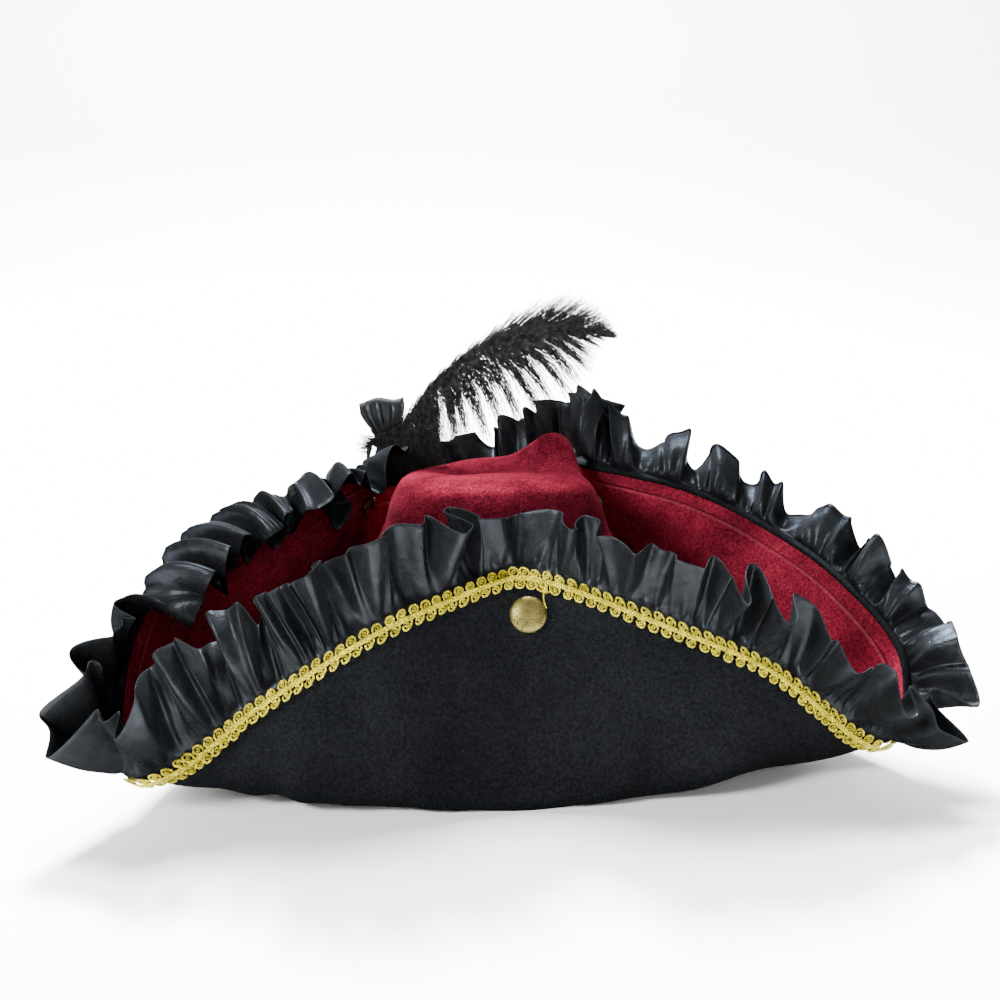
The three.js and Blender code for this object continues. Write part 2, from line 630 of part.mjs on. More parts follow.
// A closed loft of flat lens sections along a curve, from a wide root to a narrow tip.
function lock(curve, across, width, thickness, steps) {
  const points = [];
  const faces = [];
  for (let i = 0; i <= steps; i++) {
    const share = i / steps;
    const centre = curve.getPoint(share);
    const along = curve.getTangent(share);
    const side = across.clone().addScaledVector(along, -across.dot(along)).normalize();
    const flat = along.clone().cross(side);
    const taper = 1 - 0.85 * share * share;
    for (const [u, v] of [
      [1, 0],
      [0, 1],
      [-1, 0],
      [0, -1],
    ]) {
      const half = centre.clone().addScaledVector(side, (u * width * taper) / 2);
      points.push(half.addScaledVector(flat, (v * thickness * taper) / 2));
    }
  }
  for (let i = 0; i < steps; i++) {
    for (let k = 0; k < 4; k++) {
      const a = 4 * i + k;
      const b = 4 * i + ((k + 1) % 4);
      faces.push([a, b, b + 4], [a, b + 4, a + 4]);
    }
  }
  const end = 4 * steps;
  faces.push([0, 2, 1], [0, 3, 2], [end, end + 1, end + 2], [end, end + 2, end + 3]);
  return closedGeometry(points, faces);
}

// The quill lies on the braid, beside the left flap's button.
const LEFT = FLAPS[2];
const QUILL_SIDE = 0.62;
const QUILL_BEND = 0.36;
const QUILL_SEAT = BRAID_SEAT - BRAID_WALL - CLEARANCE - QUILL_RADIUS;
const plumeRoot = brimSeat(LEFT.place, 0).point;

function plumeSpine() {
  const seats = [BUTTON_DROP + BUTTON_RADIUS, BRAID_WIDTH, 0].map((drop) => {
    const seat = brimSeat(LEFT.place - QUILL_SIDE, drop);
    return seat.point.addScaledVector(seat.normal, QUILL_SEAT);
  });
  const free = PLUME_SPINE.map((row) =>
    new THREE.Vector3(row.along, row.ahead, row.up).multiplyScalar(PLUME_LENGTH).add(plumeRoot),
  );
  return new THREE.CatmullRomCurve3([...seats, ...free], false, "centripetal");
}

function plume() {
  const spine = plumeSpine();
  const ahead = new THREE.Vector3(0, 1, 0);
  let solid = toSolid(lock(spine, ahead, 2 * QUILL_RADIUS, 2 * QUILL_RADIUS, 12));
  for (const row of PLUME_LOCKS) {
    const root = spine.getPointAt(row.at);
    const along = spine.getTangentAt(row.at);
    const over = along.clone().cross(ahead);
    for (const side of [1, -1]) {
      const length = PLUME_BARB * (side > 0 ? row.over : row.under);
      const lean = rad(side > 0 ? 40 + row.sweep / 2 : row.sweep);
      const first = over.clone().multiplyScalar(side * Math.cos(lean));
      first.addScaledVector(along, Math.sin(lean));
      const droop = UP.clone().multiplyScalar(-0.25 * length);
      const curve = new THREE.QuadraticBezierCurve3(
        root.clone().addScaledVector(first, -QUILL_RADIUS),
        root.clone().addScaledVector(first, 0.55 * length),
        root.clone().addScaledVector(first, length).add(droop),
      );
      const width = 0.11 * PLUME_LENGTH * (side > 0 ? 0.75 : 1);
      solid = solid.add(toSolid(lock(curve, along, width, 2.4 * QUILL_RADIUS, 3)));
    }
  }
  return fromSolid(solid);
}

// A loop of the bow: a ribbon that runs out, bends round and comes back, as a wall round an open
// teardrop.
function bowLoop() {
  const sides = 12;
  const outline = (grow) =>
    Array.from({ length: sides }, (_, k) => {
      const angle = (2 * Math.PI * (k + 0.5)) / sides;
      const swell = BOW_LOOP * (0.07 + 0.19 * Math.sin(angle / 2)) + grow;
      return [(BOW_LOOP / 2) * (1 - Math.cos(angle)) - grow * Math.cos(angle), swell * Math.sin(angle)];
    });
  const corners = [outline(RIBBON_WALL), outline(0)];
  const points = [];
  for (const height of [-BOW_RIBBON / 2, BOW_RIBBON / 2]) {
    for (const line of corners) points.push(...line.map(([x, y]) => new THREE.Vector3(x, y, height)));
  }
  const faces = [];
  for (let k = 0; k < sides; k++) {
    const next = (k + 1) % sides;
    const [out, inn, outTop, innTop] = [0, 1, 2, 3].map((ring) => [ring * sides + k, ring * sides + next]);
    for (const [p, q] of [
      [out, outTop],
      [outTop, innTop],
      [innTop, inn],
      [inn, out],
    ]) {
      faces.push([p[0], p[1], q[1]], [p[0], q[1], q[0]]);
    }
  }
  return closedGeometry(points, faces);
}

function bow() {
  const knot = new THREE.CapsuleGeometry(BOW_RIBBON * KNOT_SHARE, BOW_RIBBON * 0.42, 2, 8);
  let solid = toSolid(knot.rotateX(Math.PI / 2));
  for (const lean of BOW_LEANS) solid = solid.add(toSolid(bowLoop().rotateZ(rad(lean))));
  return fromSolid(solid);
}

const hat = new THREE.Group();
const shape = new THREE.Group();
hat.add(shape);

function addPiece(name, geometry, material) {
  const mesh = new THREE.Mesh(geometry, MATERIALS[material].clone());
  mesh.name = name;
  shape.add(mesh);
  return mesh;
}

addPiece("crown", crown(), "red_velvet");
addPiece("brim", brimLayer(-LAYER_MIDDLE, -CLEARANCE / 2), "black_velvet");
addPiece("brim_lining", brimLayer(CLEARANCE / 2, CLEARANCE / 2 + LINING_WALL), "red_velvet");
addPiece("ruffle", ruffle(), "black_satin");
addPiece("braid", braid(), "gold_braid");

for (const flap of FLAPS) {
  const seat = brimSeat(flap.place, BUTTON_DROP);
  const piece = addPiece(`button_${flap.name}`, button(), "brass");
  piece.position.copy(seat.point);
  piece.quaternion.setFromUnitVectors(new THREE.Vector3(0, 1, 0), seat.normal.clone().negate());
}

addPiece("plume", plume(), "black_feather");

// The bow's knot lies against the quill, just above the brim's edge.
const bowPiece = addPiece("bow", bow(), "black_satin");
bowPiece.quaternion.setFromRotationMatrix(
  new THREE.Matrix4().makeBasis(UP, new THREE.Vector3(0, 1, 0), new THREE.Vector3(-1, 0, 0)),
);
bowPiece.position.copy(plumeSpine().getPoint(QUILL_BEND));
bowPiece.position.y += QUILL_RADIUS + CLEARANCE + BOW_RIBBON * KNOT_SHARE;

// The origin is under the middle of the whole hat.
shape.updateMatrixWorld(true);
const bounds = new THREE.Box3().setFromObject(shape, true);
shape.position.set(-(bounds.min.x + bounds.max.x) / 2, -(bounds.min.y + bounds.max.y) / 2, -bounds.min.z);

export default hat;
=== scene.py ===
"""The look of the tricorn hat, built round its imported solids.

Lengths in the shape tables and functions are in millimetres from the middle of the head opening, with the
back flap towards -Y. Meshes are in metres in the row frame, and so are the distances in the materials.
"""

import bpy
import numpy as np
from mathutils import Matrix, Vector


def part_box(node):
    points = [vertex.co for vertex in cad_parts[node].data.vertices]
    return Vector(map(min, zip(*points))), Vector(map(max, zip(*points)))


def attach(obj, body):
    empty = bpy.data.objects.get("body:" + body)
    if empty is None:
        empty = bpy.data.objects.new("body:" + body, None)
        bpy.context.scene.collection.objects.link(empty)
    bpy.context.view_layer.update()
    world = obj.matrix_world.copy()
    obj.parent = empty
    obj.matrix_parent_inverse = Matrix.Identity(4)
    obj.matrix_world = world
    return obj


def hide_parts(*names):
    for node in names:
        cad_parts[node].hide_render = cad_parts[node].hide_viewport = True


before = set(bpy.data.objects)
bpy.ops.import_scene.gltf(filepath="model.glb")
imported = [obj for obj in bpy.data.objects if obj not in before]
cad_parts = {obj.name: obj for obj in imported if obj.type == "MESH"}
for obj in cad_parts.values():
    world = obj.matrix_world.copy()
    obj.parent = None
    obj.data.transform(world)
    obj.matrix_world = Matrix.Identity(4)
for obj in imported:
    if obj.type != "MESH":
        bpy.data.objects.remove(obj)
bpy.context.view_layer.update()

# Sizes of the hat and of its layers, as in the solids
HEAD_LENGTH = 184
HEAD_WIDTH = 174
BRIM_WIDTH = 96
CROWN_HEIGHT = 112
FOOT_WIDTH = 7
FLAP_BULGE = 6
VELVET_WALL = 1.5
LINING_WALL = 1.5
CROWN_WALL = 1.8
RIBBON_WALL = 1.0
CLEARANCE = 0.3
BRAID_WALL = 2.0
RUFFLE_WIDTH = 32
BUTTON_DROP = 19.5
BUTTON_RADIUS = 7.5
SOCKET_GAP = 0.5
QUILL_RADIUS = 1.4
PLUME_LENGTH = 155
LAYER_MIDDLE = VELVET_WALL + CLEARANCE / 2
RIBBON_SEAT = -(LAYER_MIDDLE + CLEARANCE + RIBBON_WALL / 2)
BRAID_SEAT = RIBBON_SEAT - RIBBON_WALL / 2 - CLEARANCE
UP = np.array([0.0, 0.0, 1.0])

# Once round the brim: turn from +X, the edge's reach and rise, the fold's place, and the ruffle's slope near
# its seam (lift), its slope at its free edge (curl) and its share of the full width (full). On the near flap
# the ruffle is lower here than in the solids, as the photograph has it.
NAMES = ("turn", "reach", "rise", "fold", "lift", "curl", "full")
SECTIONS = np.array(
    [
        (-90, 0.33, 0.9, 0.54, 92, 88, 0.66),
        (-74, 0.38, 0.875, 0.56, 90, 85, 0.84),
        (-58.5, 0.52, 0.775, 0.635, 85, 75, 0.82),
        (-43.5, 0.7, 0.575, 0.78, 68, 55, 0.85),
        (-30, 0.955, 0.2, 0.78, 28, 5, 1),
        (-22, 0.96, 0.45, 0.81, 48, 25, 0.72),
        (-12, 0.81, 0.72, 0.73, 52, 20, 0.62),
        (-1, 0.65, 0.89, 0.645, 50, 20, 0.64),
        (5.5, 0.495, 1.025, 0.6, 50, 10, 0.76),
        (13, 0.345, 1.105, 0.57, 58, 15, 0.8),
        (30, 0.27, 1.13, 0.55, 75, 40, 0.85),
        (47, 0.345, 1.105, 0.57, 82, 65, 0.95),
        (56, 0.495, 1.025, 0.6, 85, 80, 1),
        (65, 0.65, 0.95, 0.64, 85, 80, 1),
        (75, 0.8, 0.87, 0.67, 82, 75, 1),
        (90, 0.885, 0.665, 0.65, 75, 62, 0.92),
        (105, 0.8, 0.75, 0.66, 95, 105, 1),
        (117, 0.65, 0.83, 0.62, 130, 175, 0.95),
        (128, 0.505, 0.92, 0.58, 152, 195, 0.85),
        (139, 0.38, 1.02, 0.56, 158, 195, 0.78),
        (151.5, 0.335, 1.13, 0.55, 160, 190, 0.6),
        (163, 0.375, 1.1, 0.57, 165, 200, 0.85),
        (171, 0.46, 1.06, 0.6, 172, 210, 1.05),
        (179, 0.615, 0.99, 0.63, 175, 212, 1.15),
        (188, 0.755, 0.895, 0.7, 170, 212, 1.15),
        (196, 0.855, 0.72, 0.77, 158, 208, 1.15),
        (203, 0.935, 0.46, 0.79, 86, 84, 0.9),
        (210.5, 0.965, 0.2, 0.76, 46, 22, 1.15),
        (222, 0.73, 0.5, 0.8, 86, 108, 1.12),
        (236, 0.55, 0.77, 0.655, 88, 90, 1),
        (252, 0.39, 0.865, 0.57, 90, 85, 0.9),
    ]
)

# Rings of the crown: height, reach and how much of the flaps' push shows there
CROWN_RINGS = np.array(
    [
        (0.012, 1, 0),
        (0.06, 1, 0),
        (0.27, 0.95, 0.3),
        (0.46, 0.87, 0.8),
        (0.66, 0.7, 1),
        (0.82, 0.59, 0.9),
        (0.925, 0.55, 0.6),
        (0.98, 0.505, 0.4),
        (1, 0.43, 0.2),
        (1.005, 0.2, 0),
        (1.006, 0, 0),
    ]
)
CROWN_PINCH = 0.06
# Dents and rises of the crown's top: towards a turn, reach, height and spread
CROWN_DENTS = ((39, 0.42, 0.12, 0.135), (-90, 0.4, 0.045, 0.35), (120, 0.25, -0.045, 0.2))
# The side that is pushed in near the top: towards a turn, over how many degrees, and by what share
CROWN_PUSH = (2, 32, 0.2)
# The head's rough radius, which makes a share of the wall's thickness at the crown's rim
RIM_RADIUS = 88

low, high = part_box("crown")
HEAD_MIDDLE = (np.array(low) + np.array(high)) / 2 * 1000
HEAD_MIDDLE[2] = 0


def smoothstep(x, a=0.0, b=1.0):
    x = np.clip((x - a) / (b - a), 0, 1)
    return x * x * (3 - 2 * x)


def unit(v):
    return v / np.maximum(np.linalg.norm(v, axis=-1, keepdims=True), 1e-9)


def polar(turn, radius, height):
    turn, radius, height = np.broadcast_arrays(turn, radius, height)
    return np.stack([radius * np.cos(turn), radius * np.sin(turn), height], axis=-1)


def head_radius(turn):
    across, along = HEAD_WIDTH / 2, HEAD_LENGTH / 2
    return across * along / np.hypot(along * np.cos(turn), across * np.sin(turn))


def wobble(x, seed, waves, low, high):
    """A smooth random line that closes on itself as x goes from 0 to 1, between about -1 and 1."""
    rng = np.random.default_rng(seed)
    counts = rng.integers(low, high + 1, waves)
    turns = rng.uniform(0, 2 * np.pi, waves)
    return sum(np.sin(2 * np.pi * n * x + a) for n, a in zip(counts, turns)) / np.sqrt(waves)


def smooth_line(x, y, wanted):
    """A smooth curve through the points of a table."""
    slope = np.gradient(y, x)
    row = np.clip(np.searchsorted(x, wanted, side="right") - 1, 0, len(x) - 2)
    step = x[row + 1] - x[row]
    w = (wanted - x[row]) / step
    h00, h10 = 2 * w**3 - 3 * w**2 + 1, w**3 - 2 * w**2 + w
    h01, h11 = -2 * w**3 + 3 * w**2, w**3 - w**2
    return h00 * y[row] + h10 * step * slope[row] + h01 * y[row + 1] + h11 * step * slope[row + 1]


def make_object(name, points, faces, material):
    """A piece of the hat from points in millimetres from the head's middle."""
    mesh = bpy.data.meshes.new(name)
    mesh.from_pydata(((np.asarray(points) + HEAD_MIDDLE) * 0.001).tolist(), [], np.asarray(faces).tolist())
    mesh.validate()
    mesh.polygons.foreach_set("use_smooth", [True] * len(mesh.polygons))
    mesh.materials.append(material)
    piece = bpy.data.objects.new(name, mesh)
    bpy.context.scene.collection.objects.link(piece)
    return piece


def grid_faces(columns, rows, closed=False, start=0):
    """Quads of a grid whose points run row by row within each column."""
    c = np.arange(columns if closed else columns - 1)
    r = np.arange(rows - 1)
    a = (c[:, None] * rows + r[None, :]).ravel()
    b = (((c[:, None] + 1) % columns) * rows + r[None, :]).ravel()
    return np.stack([a, b, b + 1, a + 1], axis=1) + start


def add_uv(piece, uv):
    """uv holds one pair for each point."""
    layer = piece.data.uv_layers.new(name="cloth")
    corner = np.empty(len(piece.data.loops), dtype=np.int32)
    piece.data.loops.foreach_get("vertex_index", corner)
    layer.data.foreach_set("uv", np.asarray(uv)[corner].ravel())


def edge_samples(count=9000):
    """The brim's edge as a closed centripetal spline: points, their places in the table, and lengths."""
    turn = np.radians(SECTIONS[:, 0])
    reach = SECTIONS[:, 1] * (head_radius(turn) + BRIM_WIDTH)
    knots = polar(turn, reach, LAYER_MIDDLE + SECTIONS[:, 2] * BRIM_WIDTH)
    total = len(knots)
    place = np.arange(count + 1) / count * total
    row = np.floor(place).astype(int)
    w = (place - row)[:, None]
    p0, p1, p2, p3 = (knots[(row + k) % total] for k in (-1, 0, 1, 2))
    pairs = ((p0, p1), (p1, p2), (p2, p3))
    d0, d1, d2 = (np.sqrt(np.linalg.norm(b - a, axis=1))[:, None] for a, b in pairs)
    m1 = ((p1 - p0) / d0 - (p2 - p0) / (d0 + d1) + (p2 - p1) / d1) * d1
    m2 = ((p2 - p1) / d1 - (p3 - p1) / (d1 + d2) + (p3 - p2) / d2) * d1
    points = p1 + m1 * w + (3 * (p2 - p1) - 2 * m1 - m2) * w**2 + (2 * (p1 - p2) + m1 + m2) * w**3
    lengths = np.concatenate([[0], np.cumsum(np.linalg.norm(np.diff(points, axis=0), axis=1))])
    return points, place, lengths


EDGE_POINTS, EDGE_PLACES, EDGE_LENGTHS = edge_samples()
EDGE_LENGTH = EDGE_LENGTHS[-1]
# A side of the brim is a cubic curve: how far its handles reach towards the fold, and its steps
NEAR_HANDLE, FAR_HANDLE = 0.75, 0.62
PATH_STEPS = 90


def edge_at(u):
    """The edge's point and its place in the table at a share u of the way round."""
    along = (np.asarray(u) % 1.0) * EDGE_LENGTH
    point = np.stack([np.interp(along, EDGE_LENGTHS, EDGE_POINTS[:, k]) for k in range(3)], axis=-1)
    return point, np.interp(along, EDGE_LENGTHS, EDGE_PLACES)


def section(name, place):
    """A column of the table of sections at places in it."""
    column = SECTIONS[:, NAMES.index(name)]
    row = np.floor(place).astype(int)
    share = smoothstep(place - row)
    return column[row % len(column)] * (1 - share) + column[(row + 1) % len(column)] * share


def brim_sides(u, shares):
    """Points of the brim's middle surface: [way round][share of the side, from the foot to the edge]."""
    u = np.asarray(u, dtype=float)
    turn = -np.pi / 2 + 2 * np.pi * u
    edge, place = edge_at(u)
    ahead = np.arctan2(edge[:, 1], edge[:, 0]) - turn
    fold_turn = turn + np.arctan2(np.sin(ahead), np.cos(ahead)) / 2
    foot = polar(turn, head_radius(turn) + FOOT_WIDTH, LAYER_MIDDLE)
    fold = polar(fold_turn, section("fold", place) * (head_radius(fold_turn) + BRIM_WIDTH), LAYER_MIDDLE)
    bulge = polar(fold_turn, FLAP_BULGE * section("rise", place), 0)
    near = foot + NEAR_HANDLE * (fold - foot)
    far = edge + FAR_HANDLE * (fold - edge) + bulge
    w = np.linspace(0, 1, PATH_STEPS)[None, :, None]
    p0, p1, p2, p3 = (p[:, None, :] for p in (foot, near, far, edge))
    path = p0 * (1 - w) ** 3 + 3 * p1 * w * (1 - w) ** 2 + 3 * p2 * w**2 * (1 - w) + p3 * w**3
    lengths = np.linalg.norm(np.diff(path, axis=1), axis=2).cumsum(axis=1)
    lengths = np.concatenate([np.zeros((len(u), 1)), lengths], axis=1)
    sides = np.empty((len(u), len(shares), 3))
    for i in range(len(u)):
        for k in range(3):
            sides[i, :, k] = np.interp(np.asarray(shares) * lengths[i, -1], lengths[i], path[i, :, k])
    return sides, lengths[:, -1]


def grid_normals(grid):
    """Unit normals of a grid that closes on itself, towards the lining on a brim grid."""
    across = np.roll(grid, -1, axis=0) - np.roll(grid, 1, axis=0)
    return unit(np.cross(np.gradient(grid, axis=1), across))


# Materials


def new_material(name, roughness, metallic=0.0, specular=0.5, sheen=0.0, sheen_tint=(1, 1, 1), edge_tint=1.0):
    """A principled material with plain numbers on its sockets, and helpers to add its nodes."""
    mat = bpy.data.materials.new(name)
    mat.use_nodes = True
    nodes, links = mat.node_tree.nodes, mat.node_tree.links
    shader = nodes["Principled BSDF"]
    shader.inputs["Roughness"].default_value = roughness
    shader.inputs["Metallic"].default_value = metallic
    shader.inputs["Specular IOR Level"].default_value = specular
    shader.inputs["Sheen Weight"].default_value = sheen
    shader.inputs["Sheen Roughness"].default_value = 0.35
    shader.inputs["Sheen Tint"].default_value = (*sheen_tint, 1)
    shader.inputs["Specular Tint"].default_value = (edge_tint, edge_tint, edge_tint, 1)
    return mat, nodes, links, shader


def coordinates(nodes, kind="Object"):
    return nodes.new("ShaderNodeTexCoord").outputs[kind]


def noise(nodes, links, vector, scale, detail, roughness, distortion=0.0):
    node = nodes.new("ShaderNodeTexNoise")
    node.inputs["Scale"].default_value = scale
    node.inputs["Detail"].default_value = detail
    node.inputs["Roughness"].default_value = roughness
    node.inputs["Distortion"].default_value = distortion
    links.new(vector, node.inputs["Vector"])
    return node.outputs["Fac"]


def ramp(nodes, links, value, *stops):
    """Stops are (place, colour)."""
    node = nodes.new("ShaderNodeValToRGB")
    line = node.color_ramp
    while len(line.elements) < len(stops):
        line.elements.new(0.5)
    for element, (place, colour) in zip(line.elements, stops):
        element.position = place
        element.color = (*colour, 1)
    links.new(value, node.inputs["Fac"])
    return node.outputs["Color"]


def grey(value):
    return (value, value, value)


def mix_colour(nodes, links, share, a, b, blend="MIX"):
    node = nodes.new("ShaderNodeMix")
    node.data_type = "RGBA"
    node.blend_type = blend
    for socket, value in (("Factor", share), ("A", a), ("B", b)):
        target = [s for s in node.inputs if s.name == socket and s.enabled][0]
        if isinstance(value, (int, float)):
            target.default_value = value
        elif isinstance(value, tuple):
            target.default_value = (*value, 1)
        else:
            links.new(value, target)
    return [s for s in node.outputs if s.name == "Result" and s.enabled][0]


def maths(nodes, links, operation, a, b=None):
    node = nodes.new("ShaderNodeMath")
    node.operation = operation
    for socket, value in zip(node.inputs, (a, b)):
        if value is None:
            continue
        if isinstance(value, (int, float)):
            socket.default_value = value
        else:
            links.new(value, socket)
    return node.outputs[0]


def bump(nodes, links, shader, *layers):
    """Layers are (height, distance in metres, strength)."""
    normal = None
    for height, distance, strength in layers:
        node = nodes.new("ShaderNodeBump")
        node.inputs["Distance"].default_value = distance
        node.inputs["Strength"].default_value = strength
        links.new(height, node.inputs["Height"])
        if normal is not None:
            links.new(normal, node.inputs["Normal"])
        normal = node.outputs["Normal"]
    links.new(normal, shader.inputs["Normal"])


# Tones of the crimson pile, as place in the patches' noise and colour, and its stitch line
CRIMSON = ((0.36, (0.075, 0.0058, 0.0125)), (0.5, (0.14, 0.0105, 0.022)), (0.66, (0.22, 0.017, 0.037)))
STITCH_COLOUR = (0.42, 0.12, 0.14)
STITCH_SHARPNESS = 600.0
STITCH_STRENGTH = 0.13


def crimson_velvet(name, seam, depth):
    """Crushed crimson pile: patches brushed either way, fine sparkle, and a stitch line if there is one."""
    tint = (1.0, 0.22, 0.34)
    mat, nodes, links, shader = new_material(name, 0.9, specular=0.0, sheen=0.012, sheen_tint=tint)
    place = coordinates(nodes)
    patches = noise(nodes, links, place, 14, 4, 0.6, 0.6)
    brushed = noise(nodes, links, place, 55, 4, 0.7, 1.2)
    specks = noise(nodes, links, place, 900, 2, 0.8)
    colour = ramp(nodes, links, patches, *((at, tuple(depth * c for c in tone)) for at, tone in CRIMSON))
    fine = ramp(nodes, links, brushed, (0.32, grey(0.62)), (0.7, grey(1.25)))
    colour = mix_colour(nodes, links, 1.0, colour, fine, "MULTIPLY")
    sparkle = ramp(nodes, links, specks, (0.35, grey(0.5)), (0.68, grey(1.7)))
    colour = mix_colour(nodes, links, 1.0, colour, sparkle, "MULTIPLY")
    layers = [(brushed, 0.0008, 0.25), (specks, 0.0004, 0.5)]
    if seam:
        across = nodes.new("ShaderNodeSeparateXYZ")
        links.new(coordinates(nodes, "UV"), across.inputs[0])
        off = maths(nodes, links, "ABSOLUTE", maths(nodes, links, "SUBTRACT", across.outputs["Y"], seam))
        off = maths(nodes, links, "MULTIPLY", off, STITCH_SHARPNESS)
        line = ramp(nodes, links, off, (0.25, grey(1.0)), (0.8, grey(0.0)))
        faint = maths(nodes, links, "MULTIPLY", line, STITCH_STRENGTH)
        colour = mix_colour(nodes, links, faint, colour, STITCH_COLOUR)
        layers.append((maths(nodes, links, "SUBTRACT", 1.0, line), 0.0012, 0.7))
    links.new(colour, shader.inputs["Base Color"])
    bump(nodes, links, shader, *layers)
    return mat


def black_velvet():
    """Black pile with faint patches and a fine grain."""
    tint = (0.85, 0.92, 1.0)
    mat, nodes, links, shader = new_material("black_pile", 0.95, specular=0.0, sheen=0.002, sheen_tint=tint)
    place = coordinates(nodes)
    patches = noise(nodes, links, place, 18, 4, 0.6, 0.4)
    specks = noise(nodes, links, place, 850, 2, 0.8)
    colour = ramp(nodes, links, patches, (0.3, (0.0034, 0.0038, 0.0044)), (0.7, (0.0058, 0.0064, 0.0073)))
    sparkle = ramp(nodes, links, specks, (0.38, grey(0.7)), (0.66, grey(1.6)))
    colour = mix_colour(nodes, links, 1.0, colour, sparkle, "MULTIPLY")
    links.new(colour, shader.inputs["Base Color"])
    bump(nodes, links, shader, (patches, 0.001, 0.2), (specks, 0.0004, 0.5))
    return mat


def black_satin(name="black_satin", base=(0.0145, 0.016, 0.0182)):
    """Black satin with soft creases. Its colour is painted darker in their hollows as painted shade and
    lighter on their ridges as painted highlight. The dark edge tint keeps the backdrop out of its grazing
    faces.
    """
    mat, nodes, links, shader = new_material(name, 0.34, metallic=0.62, specular=0.0, edge_tint=0.05)
    place = coordinates(nodes)
    creases = noise(nodes, links, place, 95, 4, 0.6, 1.5)
    weave = noise(nodes, links, place, 1900, 2, 0.6)
    # painted shade in the creases' hollows and painted highlight on their ridges: the colour follows the same
    # noise as the creases' bump
    dark, light = (tuple(share * c for c in base) for share in (0.75, 1.3))
    colour = ramp(nodes, links, creases, (0.3, dark), (0.7, light))
    links.new(colour, shader.inputs["Base Color"])
    rough = ramp(nodes, links, weave, (0.3, grey(0.27)), (0.7, grey(0.4)))
    links.new(rough, shader.inputs["Roughness"])
    bump(nodes, links, shader, (creases, 0.0012, 0.35), (weave, 0.0002, 0.35))
    return mat


def gold_yarn():
    """Metallic yarn whose dark and bright strands come from a fine noise. The dark strands are painted shade
    between the threads, the bright ones are painted glints on their crests, and the middle tone is the yarn's
    gold.
    """
    mat, nodes, links, shader = new_material("gold_yarn", 0.32, metallic=0.7, specular=0.3)
    place = coordinates(nodes)
    strands = noise(nodes, links, place, 2400, 2, 0.7)
    worn = noise(nodes, links, place, 260, 3, 0.6)
    # the near-black stop is painted shade in the gaps between threads and the top stop painted glints; the
    # middle stop is the gold itself
    tones = ((0.36, (0.08, 0.058, 0.001)), (0.5, (0.5, 0.4, 0.008)), (0.62, (1.0, 0.9, 0.075)))
    colour = ramp(nodes, links, strands, *tones)
    shade = ramp(nodes, links, worn, (0.3, grey(0.7)), (0.65, grey(1.1)))
    colour = mix_colour(nodes, links, 1.0, colour, shade, "MULTIPLY")
    links.new(colour, shader.inputs["Base Color"])
    bump(nodes, links, shader, (strands, 0.0006, 0.9))
    return mat


def old_brass():
    """Stained brass with small dark pits."""
    mat, nodes, links, shader = new_material("old_brass", 0.42, metallic=0.95)
    place = coordinates(nodes)
    cells = nodes.new("ShaderNodeTexVoronoi")
    cells.inputs["Scale"].default_value = 1050
    cells.inputs["Randomness"].default_value = 0.35
    links.new(place, cells.inputs["Vector"])
    pits = ramp(nodes, links, cells.outputs["Distance"], (0.16, grey(0.0)), (0.34, grey(1.0)))
    stain = noise(nodes, links, place, 150, 4, 0.6)
    colour = ramp(nodes, links, stain, (0.3, (0.085, 0.069, 0.018)), (0.7, (0.17, 0.145, 0.045)))
    colour = mix_colour(nodes, links, pits, (0.05, 0.03, 0.02), colour)
    links.new(colour, shader.inputs["Base Color"])
    bump(nodes, links, shader, (pits, 0.0004, 0.8), (stain, 0.0004, 0.3))
    return mat


def feather_barbs():
    """Black barbs, some a little paler than others."""
    tint = (0.7, 0.75, 0.85)
    mat, nodes, links, shader = new_material("black_barbs", 0.55, specular=0.06, sheen=0.02, sheen_tint=tint)
    place = coordinates(nodes)
    streaks = noise(nodes, links, place, 420, 3, 0.6)
    colour = ramp(nodes, links, streaks, (0.38, (0.0035, 0.0038, 0.0043)), (0.7, (0.024, 0.025, 0.027)))
    links.new(colour, shader.inputs["Base Color"])
    return mat


# The lining's stitch line lies this far from the edge; the crown has none
LINING_SEAM = 0.0095
# The crown's copy of the crimson is painted at 0.31 of its tones, against the lining's 0.88. This is painted
# shade that offsets the strong key lamp on the crown's top.
RED_CROWN = crimson_velvet("crown_pile", 0, 0.31)
RED_LINING = crimson_velvet("lining_pile", LINING_SEAM, 0.88)
BLACK_PILE = black_velvet()
SATIN = black_satin()
BOW_SATIN = black_satin("bow_satin", (0.02, 0.0222, 0.0242))
GOLD = gold_yarn()
BRASS = old_brass()
BARBS = feather_barbs()


# Crown


